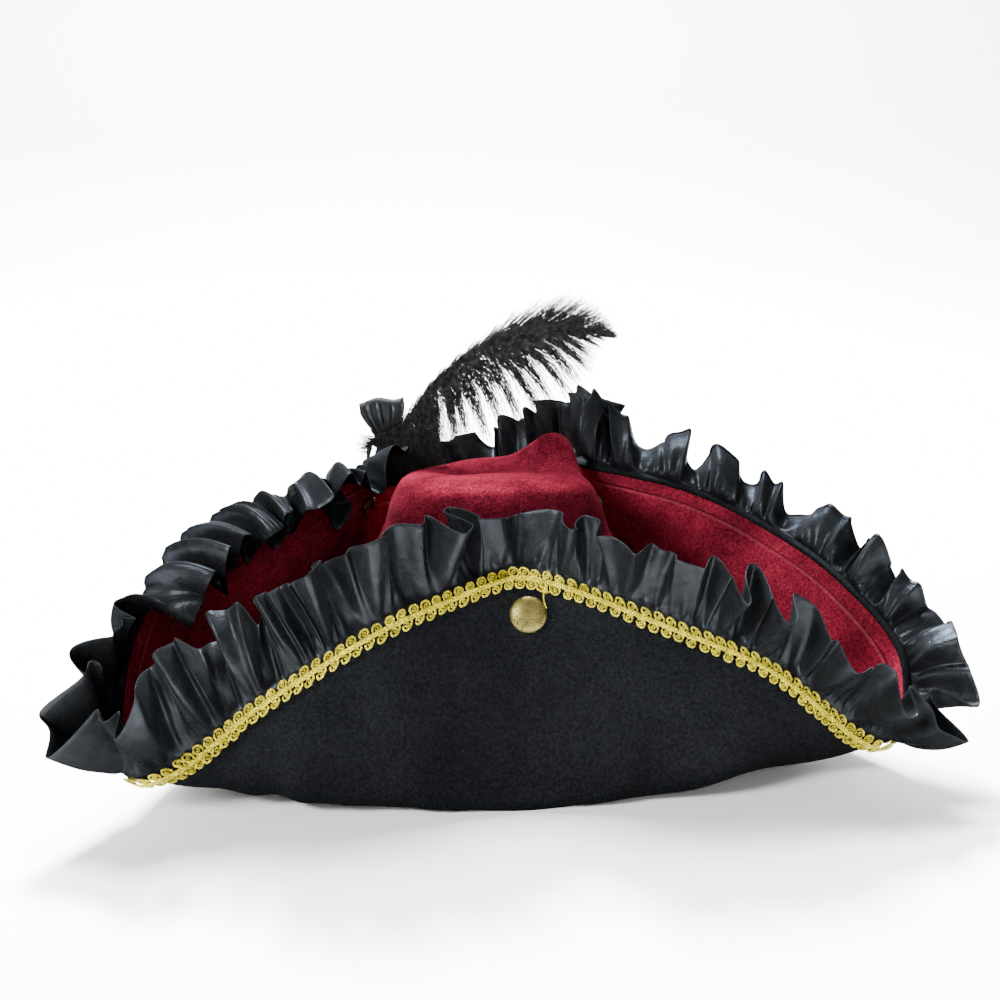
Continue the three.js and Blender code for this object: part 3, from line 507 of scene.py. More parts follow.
def crown_surface(columns=300, rows=110):
    """The crown's outer skin, with soft creases under the flaps' push."""
    turn = 2 * np.pi * np.arange(columns) / columns
    # rings are spaced by their distance along the outline
    flat = np.stack([CROWN_RINGS[:, 1] * HEAD_WIDTH / 2, CROWN_RINGS[:, 0] * CROWN_HEIGHT], axis=1)
    along = np.concatenate([[0], np.cumsum(np.linalg.norm(np.diff(flat, axis=0), axis=1))])
    wanted = np.linspace(0, along[-1], rows)
    up, out, pinch = (smooth_line(along, CROWN_RINGS[:, k], wanted) for k in range(3))
    base = head_radius(turn)[:, None] - CLEARANCE
    push = 1 - CROWN_PINCH * pinch[None, :] * np.cos(3 * (turn[:, None] - np.radians(30)))
    creases = wobble(turn[:, None] / (2 * np.pi) + 0.15 * up[None, :], 11, 7, 3, 11)
    soft = 1 + 0.012 * smoothstep(up, 0.1, 0.5) * creases
    towards, width, depth = CROWN_PUSH
    off = (np.degrees(turn) - towards + 180) % 360 - 180
    push = push * (1 - depth * np.exp(-((off / width) ** 2))[:, None] * smoothstep(up, 0.45, 0.85)[None, :])
    points = polar(turn[:, None] + 0 * up, base * out * push * soft, up * CROWN_HEIGHT + 0 * base)
    weight = smoothstep(up, 0.6, 0.95)
    for at, reach, lift, spread in CROWN_DENTS:
        at = np.radians(at)
        centre = polar(at, reach * head_radius(at), 0)
        away = np.linalg.norm(points[:, :, :2] - centre[:2], axis=2)
        share = np.exp(-(away**2) / (2 * (spread * HEAD_WIDTH / 2) ** 2))
        points[:, :, 2] += weight * share * lift * CROWN_HEIGHT
    return points


def make_crown():
    """The crown as a closed wall, open below."""
    outer = crown_surface()
    inner = outer + CROWN_WALL * grid_normals(outer)
    columns, rows = outer.shape[:2]
    inner[:, 0] = outer[:, 0] * np.array([1, 1, 0]) * (1 - CROWN_WALL / RIM_RADIUS) + outer[:, 0] * UP
    points = np.concatenate([outer.reshape(-1, 3), inner.reshape(-1, 3)])
    front = grid_faces(columns, rows, True)
    back = grid_faces(columns, rows, True, columns * rows)[:, ::-1]
    c = np.arange(columns) * rows
    n = np.roll(c, -1)
    rim = np.stack([c, c + columns * rows, n + columns * rows, n], axis=1)
    return make_object("crown_velvet", points, np.concatenate([front, back, rim]), RED_CROWN)


# Brim and lining


def brim_middle(columns=640, rows=38):
    """The middle surface with soft dents, from the head opening to the edge, and distances from the edge."""
    u = np.arange(columns) / columns
    shares = np.linspace(0, 1, rows) ** 0.9
    sides, lengths = brim_sides(u, shares)
    turn = -np.pi / 2 + 2 * np.pi * u
    opening = polar(turn, head_radius(turn), LAYER_MIDDLE)[:, None, :]
    grid = np.concatenate([opening, sides], axis=1)
    down = np.concatenate([lengths[:, None] + FOOT_WIDTH, (1 - shares)[None, :] * lengths[:, None]], axis=1)
    share = np.concatenate([[0], shares])
    soft = np.sin(np.pi * share) ** 2
    broad = wobble(u[:, None] + 0.06 * share[None, :], 3, 7, 4, 16)
    small = wobble(u[:, None] - 0.1 * share[None, :], 5, 8, 12, 34)
    dent = 0.9 * broad + 0.6 * small
    grid = grid + grid_normals(grid) * (soft[None, :] * dent)[:, :, None]
    return grid, down


BRIM_GRID, BRIM_DOWN = brim_middle()
BRIM_NORMALS = grid_normals(BRIM_GRID)
BRIM_NORMALS[:, 0] = UP


def section_wall(name, loops, uvs, material):
    """A closed wall from cross-sections [way round][point], each a closed loop."""
    columns, around = loops.shape[:2]
    c = np.arange(columns)[:, None]
    k = np.arange(around)[None, :]
    following = ((c + 1) % columns) * around
    a, b = (c * around + k).ravel(), (following + k).ravel()
    a2, b2 = (c * around + (k + 1) % around).ravel(), (following + (k + 1) % around).ravel()
    piece = make_object(name, loops.reshape(-1, 3), np.stack([a, b, b2, a2], axis=1), material)
    add_uv(piece, uvs.reshape(-1, 2))
    return piece


# The pile rolled over the brim's edge, and the lining's end: how far past the edge, and how far to the
# lining's side. The lining's end counts as this far down from the edge in its UV.
PILE_HEM = (
    (0.5, -1.3), (0.8, 0), (0.6, 1.5), (0, 2.1), (-0.6, 2.2),
    (-1.2, 2.1), (-1.2, 1.85), (-0.6, 1.75), (0, 0.2),
)
LINING_END = ((-0.8, 0.15), (-0.8, 1.65))
LINING_END_DOWN = 0.8


def brim_walls():
    """The brim's outer pile and its lining as closed walls, with distances along and from the edge as UV."""
    grid, normals, down = BRIM_GRID, BRIM_NORMALS, BRIM_DOWN
    columns = len(grid)
    onward = unit(grid[:, -1] - grid[:, -2])
    edge, side = grid[:, -1], normals[:, -1]
    way = (np.arange(columns) / columns * EDGE_LENGTH / 1000)[:, None]

    def beyond(table):
        return [(edge + onward * past + side * offset)[:, None, :] for past, offset in table]

    outer = grid - normals * LAYER_MIDDLE
    inner = grid - normals * CLEARANCE / 2
    loops = np.concatenate([outer, *beyond(PILE_HEM), inner[:, ::-1]], axis=1)
    extra = np.zeros((columns, len(PILE_HEM)))
    across = np.concatenate([down, extra, down[:, ::-1]], axis=1) / 1000
    along = np.repeat(way, loops.shape[1], axis=1)
    brim = section_wall("brim_velvet", loops, np.stack([along, across], axis=2), BLACK_PILE)

    low = grid[:, :-1] + normals[:, :-1] * CLEARANCE / 2
    high = grid[:, :-1] + normals[:, :-1] * (CLEARANCE / 2 + LINING_WALL)
    loops = np.concatenate([low, *beyond(LINING_END), high[:, ::-1]], axis=1)
    end = np.full((columns, len(LINING_END)), LINING_END_DOWN)
    across = np.concatenate([down[:, :-1], end, down[:, -2::-1]], axis=1) / 1000
    along = np.repeat(way, loops.shape[1], axis=1)
    lining = section_wall("lining_velvet", loops, np.stack([along, across], axis=2), RED_LINING)
    return brim, lining


# Edge frames for the trim


def edge_frames(u):
    """What the ruffle and braid need to know of the edge at each share of the way round."""
    u = np.asarray(u, dtype=float)
    step = 3.0 / EDGE_LENGTH
    edge, place = edge_at(u)
    forward = unit(edge_at(u + step)[0] - edge_at(u - step)[0])
    column = (u % 1.0) * len(BRIM_GRID)
    low = np.floor(column).astype(int) % len(BRIM_GRID)
    share = (column - np.floor(column))[:, None]

    def between(grid):
        return grid[low] * (1 - share) + grid[(low + 1) % len(BRIM_GRID)] * share

    onward = unit(between(BRIM_GRID[:, -1] - BRIM_GRID[:, -3]))
    out = unit(np.cross(forward, UP))
    return {
        "edge": edge,
        "normal": unit(between(BRIM_NORMALS[:, -1])),
        "forward": forward,
        "onward": onward,
        "out": out,
        "stand": unit(0.55 * np.cross(out, forward) + 0.45 * UP),
        "slope": np.arctan2(onward @ UP, np.sum(onward * out, axis=1)),
        "lift": np.radians(section("lift", place)),
        "curl": np.radians(section("curl", place)),
        "full": section("full", place),
        "place": place,
    }


# Ruffle

FOLD_PITCH = 21
FOLD_DEPTH = 10
HEM = 0.22
# Distances below the edge of the two rows that are sewn under the braid
SEAM_ROWS = (5.2, 1.6)


def fold_table(seed=21):
    """Ends of uneven folds round the edge, and each half fold's own depth, lean, sideways fall and height."""
    rng = np.random.default_rng(seed)
    count = int(round(EDGE_LENGTH / FOLD_PITCH))
    pitch = rng.uniform(0.55, 1.5, count)
    ends = np.concatenate([[0], np.cumsum(pitch)]) / pitch.sum()
    halves = {
        "depth": rng.uniform(0.5, 1.25, 2 * count),
        "lean": rng.normal(0, 0.17, 2 * count),
        "fall": rng.uniform(-1, 1, 2 * count),
        "tall": rng.uniform(0.82, 1.06, 2 * count),
    }
    return ends, halves


FOLD_ENDS, FOLD_HALVES = fold_table()
# Where the folds at the two tips stand up: row of the table of sections, and how much steeper
TIP_FOLDS = ((3.9, 0.65), (27.5, 0.65))
TIP_SPREAD = 0.9
# How the folds swing to and fro, the creases and gathers that lie over them, and their rates to a fold
SWING, SECOND_SWING = 0.45, 0.2
CREASE_DEPTH, CREASE_RATE = 0.24, 2.43
GATHER_DEPTH, GATHER_RATE = 0.6, 5.3


def fold_phase(u):
    """How many folds lie before each share of the way round, with the steps between folds softened."""
    whole = len(FOLD_ENDS) - 1

    def steps(x):
        turns = np.floor(x)
        return np.interp(x - turns, FOLD_ENDS, np.arange(whole + 1)) + whole * turns

    return sum(steps(u + shift) for shift in np.linspace(-0.006, 0.006, 9)) / 9


def fold_value(name, phase):
    """A column of the half folds' table, whose middles are a quarter and three quarters along each fold."""
    values = FOLD_HALVES[name]
    place = 2 * phase - 0.5
    low = np.floor(place).astype(int)
    share = smoothstep(place - low)
    return values[low % len(values)] * (1 - share) + values[(low + 1) % len(values)] * share


def ruffle_slope(frames, w, lean):
    """The ribbon's slope at a share w of its way from the seam to the free edge."""
    lifted = frames["slope"] + (frames["lift"] - frames["slope"]) * smoothstep(w, -0.05, 0.18)
    return lifted + (frames["curl"] + lean - lifted) * smoothstep(w, 0.25, 1)


def make_ruffle(columns=4300, rows=18, pieces=16):
    """The gathered ribbon in columns round the edge, with the flat length and width that it comes from."""
    u = np.arange(columns) / columns
    frames = edge_frames(u)
    phase = fold_phase(u)
    depth, fall = fold_value("depth", phase), fold_value("fall", phase)
    lean = fold_value("lean", phase)
    for row, steeper in TIP_FOLDS:
        lean = lean + steeper * np.exp(-(((frames["place"] - row) / TIP_SPREAD) ** 2))
    width = RUFFLE_WIDTH * frames["full"] * fold_value("tall", phase)
    drift = 0.9 * wobble(u, 33, 8, 5, 30)
    start = frames["edge"] + frames["normal"] * RIBBON_SEAT
    slabs = [start - frames["onward"] * below for below in SEAM_ROWS]
    for w in np.linspace(0, 1, rows):
        point = start.copy()
        for k in range(pieces):
            slope = ruffle_slope(frames, w * (k + 0.5) / pieces, lean)
            part = (width * w / pieces)[:, None]
            point = point + part * frames["out"] * np.cos(slope)[:, None]
            point = point + part * frames["stand"] * np.sin(slope)[:, None]
        slope = ruffle_slope(frames, w, lean)
        face = -frames["out"] * np.sin(slope)[:, None] + frames["stand"] * np.cos(slope)[:, None]
        angle = 2 * np.pi * phase + drift * w
        grown = FOLD_DEPTH * (0.5 + 0.5 * frames["full"]) * w**0.65
        swing = np.sin(angle + SWING * np.sin(angle + 3 * fall)) + SECOND_SWING * np.sin(2 * angle + 4 * fall)
        fold = grown * depth * swing
        fold = fold + CREASE_DEPTH * grown * np.sin(CREASE_RATE * angle + 5 * drift) * (1 - 0.5 * w)
        near_seam = smoothstep(w, 0, 0.1) * (1 - smoothstep(w, 0.12, 0.55))
        fold = fold + GATHER_DEPTH * near_seam * np.sin(GATHER_RATE * 2 * np.pi * phase + 3 * drift)
        sideways = -0.1 * FOLD_PITCH * depth * w * np.sin(2 * angle) + 5 * fall * w**1.6
        slabs.append(point + face * fold[:, None] + frames["forward"] * sideways[:, None])
    front = np.stack(slabs, axis=1)
    normals = grid_normals(front)
    # the free edge is turned back over itself
    edge, onward = front[:, -1], unit(front[:, -1] - front[:, -2])
    turned = []
    for angle in np.radians([60, 120, 180]):
        turned.append(edge + HEM * (onward * np.sin(angle) + normals[:, -1] * (1 - np.cos(angle))))
    back = [front[:, -2] + normals[:, -2] * 2 * HEM]
    grid = np.concatenate([front, np.stack(turned + back, axis=1)], axis=1)
    piece = make_object("ruffle_satin", grid.reshape(-1, 3), grid_faces(*grid.shape[:2], True), SATIN)
    ribbon_width = np.linalg.norm(np.diff(grid, axis=1), axis=2).sum(axis=1).mean()
    middle = grid[:, len(SEAM_ROWS) + rows // 2]
    ribbon_length = np.linalg.norm(np.roll(middle, -1, axis=0) - middle, axis=1).sum()
    return piece, ribbon_length / 1000, ribbon_width / 1000


# Braid


def tubes(paths, radius, sides, closed=False):
    """Points and faces of tubes along paths [path][point]; radius may differ by point."""
    paths = np.asarray(paths, dtype=float)
    count, length = paths.shape[:2]
    along = (np.roll(paths, -1, axis=1) - np.roll(paths, 1, axis=1)) if closed else np.gradient(paths, axis=1)
    along = unit(along)
    aside = np.where(np.abs(along[..., 2:3]) > 0.9, np.array([1.0, 0, 0]), UP)
    u = unit(np.cross(along, aside))
    v = np.cross(along, u)
    angle = 2 * np.pi * np.arange(sides) / sides
    cos, sin = (f(angle)[None, None, :, None] for f in (np.cos, np.sin))
    ring = u[:, :, None, :] * cos + v[:, :, None, :] * sin
    size = np.broadcast_to(np.asarray(radius, dtype=float), (count, length))[:, :, None, None]
    points = paths[:, :, None, :] + ring * size
    steps = length if closed else length - 1
    base = np.arange(count)[:, None, None] * length * sides
    i = np.arange(steps)[None, :, None]
    k = np.arange(sides)[None, None, :]
    j = (i + 1) % length
    n = (k + 1) % sides
    corners = [base + i * sides + k, base + j * sides + k, base + j * sides + n, base + i * sides + n]
    return points.reshape(-1, 3), np.stack(corners, axis=-1).reshape(-1, 4)


def join_meshes(*parts):
    """Points and faces of several meshes as one."""
    points, faces, start = [], [], 0
    for p, f in parts:
        points.append(p)
        faces.append(np.asarray(f) + start)
        start += len(p)
    return np.concatenate(points), np.concatenate(faces)


LOOP_PITCH = 5.1
# Each row of rosettes: its distance below the edge, its step along, and which way it leans and turns
LOOP_ROWS = ((2.7, 0.0, -1), (7.4, 0.5, 1))
LOOP_RADIUS, LOOP_YARN = 1.8, (0.52, 0.42)
EYE_RADIUS, EYE_YARN, EYE_DEPTH = 0.72, 0.4, 0.1
LOOP_LEAN = 0.35
# The plait between the rows
CORD_DROP, CORD_SWAY, CORD_YARN = 5.05, 0.75, 0.46
CORD_STEPS = 10
# Where the braid's ends meet beside the middle of the near flap, and the yarn of its loose threads
BRAID_JOIN = 13.5
THREAD_YARN = 0.28


def make_braid():
    """Two rows of small wound loops with a plaited cord between them."""
    rng = np.random.default_rng(5)
    count = int(EDGE_LENGTH / LOOP_PITCH)
    loops, eyes = [], []
    for drop, shift, side in LOOP_ROWS:
        u = (np.arange(count) + shift + rng.normal(0, 0.035, count)) / count + BRAID_JOIN / EDGE_LENGTH
        f = edge_frames(u)
        level = -(BRAID_WALL / 2 - BRAID_SEAT) + rng.normal(0, 0.12, count)
        below = (drop + rng.normal(0, 0.16, count))[:, None]
        middle = f["edge"] - f["onward"] * below + f["normal"] * level[:, None]
        size = rng.uniform(0.92, 1.08, count)[:, None, None]
        lean = rng.normal(LOOP_LEAN * side, 0.15, count)[:, None, None]
        angle = (2 * np.pi * np.arange(12) / 12)[None, :, None]
        x = f["forward"][:, None, :]
        y = f["onward"][:, None, :]
        ring = x * (LOOP_RADIUS * np.cos(angle) + lean * np.sin(angle)) + y * LOOP_RADIUS * np.sin(angle)
        lift = f["normal"][:, None, :] * (-0.25 * np.sin(angle) * side)
        loops.append(tubes(middle[:, None, :] + size * ring + lift, np.tile(LOOP_YARN, 6), 6, closed=True))
        angle = (2 * np.pi * np.arange(6) / 6)[None, :, None]
        small = EYE_RADIUS * (x * np.cos(angle) + y * np.sin(angle)) - f["normal"][:, None, :] * EYE_DEPTH
        eyes.append(tubes(middle[:, None, :] + small, EYE_YARN, 4, closed=True))
    loops = make_object("braid_loops", *join_meshes(*loops, *eyes), GOLD)
    cords = []
    samples = count * CORD_STEPS
    u = np.linspace(0, 1, samples, endpoint=False) + BRAID_JOIN / EDGE_LENGTH
    f = edge_frames(u)
    turns = 2 * np.pi * count * np.linspace(0, 1, samples, endpoint=False)
    for k in range(3):
        sway = CORD_SWAY * np.sin(turns + 2 * np.pi * k / 3)
        rise = 0.55 * np.sin(2 * turns + 4 * np.pi * k / 3)
        level = BRAID_SEAT - 1.55 - 0.35 * rise
        path = f["edge"] - f["onward"] * (CORD_DROP + sway)[:, None] + f["normal"] * level[:, None]
        cords.append(tubes(path[None], CORD_YARN, 5))
    cord = make_object("braid_cord", *join_meshes(*cords), GOLD)
    ends = []
    f = edge_frames(np.array([(BRAID_JOIN + 0.5) / EDGE_LENGTH]))
    start = f["edge"][0] - f["onward"][0] * 4.5 + f["normal"][0] * (BRAID_SEAT - 2.4)
    for k in range(7):
        w = np.linspace(0, 1, 14)[:, None]
        side = rng.normal(0, 1)
        fall = -f["onward"][0] * (rng.uniform(3, 6) if k else 11.0)
        bow = f["forward"][0] * (side * 2.2 if k else -2.6) - f["normal"][0] * 0.5
        ends.append(tubes((start + fall * w + bow * np.sin(2.4 * w) - UP * 0.4 * w)[None], THREAD_YARN, 5))
    thread = make_object("braid_ends", *join_meshes(*ends), GOLD)
    return loops, cord, thread


# Plume and bow

# The plume stands at this turn on the left flap's edge. The quill's lower end lies this far beside it at
# these distances below the edge, over the braid. The rest is in shares of the plume's length from the edge.
PLUME_TURN = 150
QUILL_ASIDE = 10.3
QUILL_BELOW = (27, 9, 0)
PLUME_SPINE = (
    (-0.01, 0.045, 0.065),
    (0.072, 0.035, 0.115),
    (0.165, 0.028, 0.228),
    (0.284, 0.023, 0.325),
    (0.431, 0.023, 0.382),
    (0.549, 0.023, 0.393),
    (0.68, 0.023, 0.379),
)


def open_curve(knots, count):
    """A smooth line through the knots in even steps."""
    knots = np.asarray(knots, dtype=float)
    along = np.concatenate([[0], np.cumsum(np.linalg.norm(np.diff(knots, axis=0), axis=1))])
    dense = np.linspace(0, along[-1], 1200)
    path = np.stack([smooth_line(along, knots[:, k], dense) for k in range(3)], axis=1)
    lengths = np.concatenate([[0], np.cumsum(np.linalg.norm(np.diff(path, axis=0), axis=1))])
    even = np.linspace(0, lengths[-1], count)
    return np.stack([np.interp(even, lengths, path[:, k]) for k in range(3)], axis=1)


def edge_share(turn):
    """The share of the way round where the edge lies towards a turn in degrees."""
    angle = np.degrees(np.unwrap(np.arctan2(EDGE_POINTS[:, 1], EDGE_POINTS[:, 0])))
    angle = angle - angle[0] - 90
    return np.interp(turn, angle, EDGE_LENGTHS) / EDGE_LENGTH


def quill_line(count=240):
    """Points of the quill from its lower end to its tip."""
    at = edge_share(PLUME_TURN)
    root = edge_at(at)[0].reshape(3)
    beside = edge_frames(np.array([at - QUILL_ASIDE / EDGE_LENGTH]))
    seat = BRAID_SEAT - BRAID_WALL - CLEARANCE - QUILL_RADIUS
    knots = [beside["edge"][0] - beside["onward"][0] * d + beside["normal"][0] * seat for d in QUILL_BELOW]
    knots += [root + np.array(row) * PLUME_LENGTH for row in PLUME_SPINE]
    return open_curve(knots, count)


def barb_strips(roots, tips, sag, width, steps=7):
    """Thin tapering ribbons from roots to tips, bent aside by their sag halfway."""
    w = np.linspace(0, 1, steps)[None, :, None]
    path = roots[:, None, :] * (1 - w) + tips[:, None, :] * w + sag[:, None, :] * 4 * w * (1 - w)
    side = unit(np.cross(unit(np.gradient(path, axis=1)), np.array([0.0, 1.0, 0.0])))
    half = 0.5 * width[:, None, None] * (1 - 0.7 * w)
    points = np.stack([path + side * half, path - side * half], axis=2)
    base = np.arange(len(roots))[:, None] * steps * 2
    k = np.arange(steps - 1)[None, :] * 2
    faces = np.stack([base + k, base + k + 1, base + k + 3, base + k + 2], axis=-1).reshape(-1, 4)
    return points.reshape(-1, 3), faces


# Tufts of barbs that cling together: place along the quill, direction in degrees above +X, and length
LOWER_TUFTS = (
    (0.43, -99, 22), (0.465, -86, 29), (0.505, -78, 36), (0.53, -73, 33), (0.56, -68, 41), (0.595, -62, 38),
    (0.63, -58, 45), (0.67, -53, 47), (0.7, -49, 42), (0.735, -45, 45), (0.77, -39, 38), (0.8, -34, 35),
    (0.83, -28, 28), (0.87, -21, 22), (0.91, -13, 16), (0.95, -5, 11),
)
UPPER_TUFTS = (
    (0.4, 62, 9), (0.44, 58, 10), (0.48, 53, 12), (0.52, 49, 15), (0.56, 44, 19), (0.6, 41, 24),
    (0.64, 38, 29), (0.68, 36, 33), (0.72, 33, 35), (0.76, 30, 34), (0.8, 27, 31), (0.84, 22, 27),
    (0.88, 16, 22), (0.92, 10, 17), (0.955, 4, 12), (0.985, 0, 8),
)
DOWN_TUFTS = (
    (0.24, 168, 7), (0.27, -150, 8), (0.3, -112, 18), (0.33, -97, 24), (0.355, -86, 29), (0.38, -74, 32),
    (0.405, -64, 34), (0.43, -70, 30), (0.36, 62, 8), (0.31, 95, 6),
)
# The short strands between two lower tufts have this share of the two lengths' sum
SHORT_SHARE = 0.34


def make_plume():
    """The quill and its barbs: the vane's two sides, short strands between lower tufts, and down."""
    rng = np.random.default_rng(9)
    spine = quill_line()
    share = np.linspace(0, 1, len(spine))
    parts = [tubes(spine[None], (1.1 - 0.92 * share)[None], 8)]

    def on_spine(s):
        return np.stack([np.interp(s, share, spine[:, k]) for k in range(3)], axis=-1)

    def tufts(table, count, spread, scatter, stray, wild, bend, width):
        """Strands a tuft, spread of roots and scatter of tips, share and angle of strays, bend, and width."""
        for at, direction, reach in table:
            s = at + rng.uniform(-spread, spread, count)
            roots = on_spine(np.clip(s, 0, 1))
            # some strands leave their tuft
            loose = rng.random(count) < stray
            off = np.where(loose, rng.normal(0, wild, count), rng.normal(0, 2.5, count))
            angle = np.radians(direction + 55 * (at - s) * 4 + off)
            length = reach * np.where(loose, rng.uniform(0.4, 1.12, count), rng.uniform(0.78, 1.03, count))
            way = np.stack([np.cos(angle), rng.normal(0, 0.13, count), np.sin(angle)], axis=1)
            middle = on_spine(at)
            tips = np.where(loose[:, None], roots, 0.35 * roots + 0.65 * middle) + way * length[:, None]
            tips = tips + rng.normal(0, scatter, (count, 3))
            across = np.stack([-np.sin(angle), 0 * angle, np.cos(angle)], axis=1)
            sag = across * (bend * reach * rng.uniform(0.5, 1.5, count))[:, None]
            parts.append(barb_strips(roots, tips, sag, width * rng.uniform(0.7, 1.4, count)))

    tufts(LOWER_TUFTS, 150, 0.027, 0.8, 0.3, 8, 0.06, 0.19)
    pairs = zip(LOWER_TUFTS, LOWER_TUFTS[1:])
    short = [((a[0] + b[0]) / 2, (a[1] + b[1]) / 2, (a[2] + b[2]) * SHORT_SHARE) for a, b in pairs]
    tufts(short, 90, 0.024, 1.2, 0.6, 9, 0.06, 0.13)
    tufts(UPPER_TUFTS, 170, 0.034, 0.6, 0.1, 5, -0.04, 0.19)
    tufts(DOWN_TUFTS, 190, 0.032, 2.4, 0.75, 20, 0.04, 0.16)
    return make_object("plume_barbs", *join_meshes(*parts), BARBS)


# The bow's knot: its share of the way along the quill, its shift from there, and its radius and half length
KNOT_SHARE, KNOT_SHIFT = 0.26, (4.8, 5.4, -2.6)
KNOT_RADIUS, KNOT_HALF = 3.3, 5.6
# Its loops: how far they lean back and to the side in degrees, and their width and reach
BOW_LOOPS = ((6, -6, 21, 20), (58, 4, 15, 15))
BOW_WALL = 0.0006


def make_bow():
    """Gathered satin loops that fan out from a wrapped knot against the quill."""
    spine = quill_line()
    knot = spine[int(KNOT_SHARE * len(spine))] + np.array(KNOT_SHIFT)
    parts = []
    for lean, sway, wide, reach in BOW_LOOPS:
        a = np.linspace(0, 2 * np.pi, 49)[:, None]
        v = np.linspace(-0.5, 0.5, 41)[None, :]
        out = reach * (1 - np.cos(a)) / 2
        swell = reach * (0.05 + 0.2 * np.sin(a / 2)) * np.sin(a)
        fan = 0.34 + 0.66 * smoothstep(out / reach, 0, 0.85)
        pleat = 0.9 * np.sin(2 * np.pi * 5.2 * v + 0.6) * (1 - 0.55 * out / reach)
        pleat = pleat + 0.4 * np.sin(2 * np.pi * 9 * v + 2)
        x = wide * v * fan
        y = swell + pleat * (0.6 + 0.4 * np.cos(a))
        z = out + 0.9 * np.cos(2 * np.pi * v * 1.2 + 0.7) * out / reach
        lean, sway = np.radians(lean), np.radians(sway)
        up = z * np.cos(lean) - y * np.sin(lean)
        back = z * np.sin(lean) + y * np.cos(lean)
        across = x * np.cos(sway) + up * np.sin(sway)
        up = up * np.cos(sway) - x * np.sin(sway)
        points = np.stack([across, back, up], axis=2) + knot
        parts.append((points.reshape(-1, 3), grid_faces(*points.shape[:2])))
    a = np.linspace(0, 2 * np.pi, 28, endpoint=False)[:, None]
    v = np.linspace(-1, 1, 17)[None, :]
    bulge = KNOT_RADIUS * np.sqrt(np.clip(1 - 0.75 * v**2, 0, 1)) + 0.25 * np.sin(6 * a + 3 * v)
    ring = np.stack([KNOT_HALF * v + 0 * a, bulge * np.cos(a), bulge * np.sin(a)], axis=2) + knot
    parts.append((ring.reshape(-1, 3), grid_faces(*ring.shape[:2], True)))
    piece = make_object("bow_satin", *join_meshes(*parts), BOW_SATIN)
    thick = piece.modifiers.new("thickness", "SOLIDIFY")
    thick.thickness = BOW_WALL
    thick.offset = 0
    return piece


# Buttons


# A snap's outline as radius and height: its socket from the lining's side inwards, its post, and its cap
SOCKET = (
    (0, -1.4), (2.4, -1.4), (2.7, -1.9), (3.4, -2.1), (4.2, -1.9),
    (4.5, -1.4), (4.2, -0.6), (3.4, -0.3), (1.8, 0),
)
CAP = (
    (1.8, 0), (4, 0.4), (6.8, 1.1), (7.4, 1.6), (BUTTON_RADIUS, 2.1), (7.35, 2.6), (6.9, 3.0), (6.0, 3.5),
    (4.8, 3.95), (3.2, 4.3), (1.6, 4.48), (0, 4.5),
)
BUTTON_SIDES = 48
# The turns at which the snaps lie below the edge
SNAPS = (("back", -86.5), ("right", 30), ("left", 150))


def make_button(name, turn):
    """A snap with its cap outside, its socket on the lining and its post through both layers."""
    at = edge_share(turn)
    f = edge_frames(np.array([at]))
    shares = np.linspace(0, 1, 200)
    sides, lengths = brim_sides(np.array([at]), shares)
    down = lengths[0] * (1 - shares)
    row = int(np.argmin(np.abs(down - BUTTON_DROP)))
    centre = sides[0, row]
    along = unit(sides[0, row + 3] - sides[0, row - 3])
    normal = unit(np.cross(along, f["forward"][0]))
    out = -normal
    base = LAYER_MIDDLE + CLEARANCE
    back = -(CLEARANCE / 2 + LINING_WALL + SOCKET_GAP)
    profile = np.array([(r, back + h) for r, h in SOCKET] + [(r, base + h) for r, h in CAP])
    angle = 2 * np.pi * np.arange(BUTTON_SIDES) / BUTTON_SIDES
    x = f["forward"][0]
    y = np.cross(out, x)
    ring = x[None, :] * np.cos(angle)[:, None] + y[None, :] * np.sin(angle)[:, None]
    points = centre + ring[:, None, :] * profile[None, :, 0, None] + out * profile[None, :, 1, None]
    return make_object(name, points.reshape(-1, 3), grid_faces(*points.shape[:2], True), BRASS)


def ride(piece, node):
    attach(piece, "root")
    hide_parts(node)


crown = make_crown()
ride(crown, "crown")
brim, lining = brim_walls()
ride(brim, "brim")
ride(lining, "brim_lining")

ruffle, ribbon_length, ribbon_width = make_ruffle()
ride(ruffle, "ruffle")

loops, cord, thread = make_braid()
for piece in (loops, cord, thread):
    ride(piece, "braid")

plume = make_plume()
ride(plume, "plume")
bow = make_bow()
ride(bow, "bow")

for name, turn in SNAPS:
    piece = make_button(f"snap_{name}", turn)
    ride(piece, f"button_{name}")


# Floor, light and camera


# The floor and the wall behind it: depth and height of its rows, and its half width
FLOOR_ROWS = ((-3.0, 0.0), (1.2, 0.0), (1.7, 0.06), (2.1, 0.25), (2.4, 0.6), (2.5, 1.2), (2.5, 4.0))
FLOOR_HALF = 5.0
# Each lamp's name, place, aim, size in metres and power in watts
LIGHTS = (
    ("key", (-0.12, 1.0, 1.25), (0, 0, 0.05), 0.35, 385),
    ("fill", (-1.15, -0.9, 0.95), (0, 0, 0.08), 0.4, 50),
    ("front", (0.2, -1.7, 0.8), (0, 0, 0.08), 0.6, 8),
    ("backdrop", (0, 1.0, 2.4), (0, 2.4, 0.6), 1.6, 600),
)
WORLD_STRENGTH = 0.38
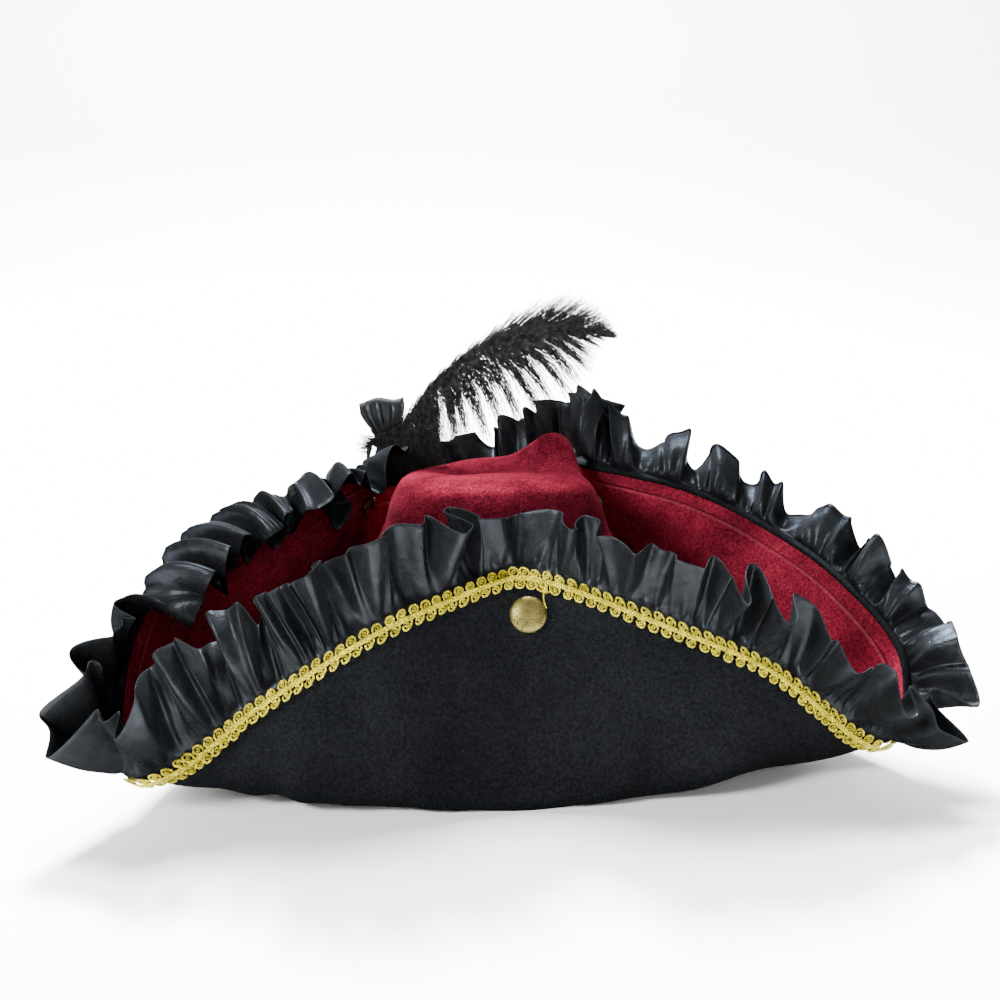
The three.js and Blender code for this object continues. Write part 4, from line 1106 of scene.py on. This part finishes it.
# The camera: place in millimetres from the head's middle, degrees down and to the right, lens and sensor
CAMERA_PLACE = (-61.28, -583.01, 251.85)
CAMERA_PITCH, CAMERA_YAW = 14.5, 6
CAMERA_LENS, CAMERA_SENSOR = 49.1, 36


def add_light(name, place, aim, size, power):
    light = bpy.data.lights.new(name, "AREA")
    light.shape = "DISK"
    light.size = size
    light.energy = power
    lamp = bpy.data.objects.new(name, light)
    lamp.location = place
    lamp.rotation_euler = (Vector(aim) - Vector(place)).to_track_quat("-Z", "Y").to_euler()
    bpy.context.scene.collection.objects.link(lamp)


def make_stage():
    """A pale floor that curves up into the wall behind the hat."""
    mesh = bpy.data.meshes.new("floor")
    points = [(x, y, z) for y, z in FLOOR_ROWS for x in (-FLOOR_HALF, FLOOR_HALF)]
    faces = [(2 * k, 2 * k + 1, 2 * k + 3, 2 * k + 2) for k in range(len(FLOOR_ROWS) - 1)]
    mesh.from_pydata(points, [], faces)
    mesh.polygons.foreach_set("use_smooth", [True] * len(mesh.polygons))
    floor = bpy.data.objects.new("floor", mesh)
    bpy.context.scene.collection.objects.link(floor)
    mat, _, _, shader = new_material("pale_floor", 0.7, specular=0.2)
    shader.inputs["Base Color"].default_value = (0.9, 0.9, 0.89, 1)
    mesh.materials.append(mat)


make_stage()
world = bpy.data.worlds.new("studio")
bpy.context.scene.world = world
world.use_nodes = True
background = world.node_tree.nodes["Background"]
background.inputs["Color"].default_value = (1, 1, 1, 1)
background.inputs["Strength"].default_value = WORLD_STRENGTH
for lamp_row in LIGHTS:
    add_light(*lamp_row)

camera_data = bpy.data.cameras.new("camera")
camera_data.sensor_width = CAMERA_SENSOR
camera_data.lens = CAMERA_LENS
camera_data.clip_end = 50
camera = bpy.data.objects.new("camera", camera_data)
bpy.context.scene.collection.objects.link(camera)
bpy.context.scene.camera = camera
pitch, yaw = np.radians(CAMERA_PITCH), np.radians(CAMERA_YAW)
camera.location = (np.array(CAMERA_PLACE) + HEAD_MIDDLE) * 0.001
ahead = Vector((np.sin(yaw) * np.cos(pitch), np.cos(yaw) * np.cos(pitch), -np.sin(pitch)))
camera.rotation_euler = ahead.to_track_quat("-Z", "Y").to_euler()
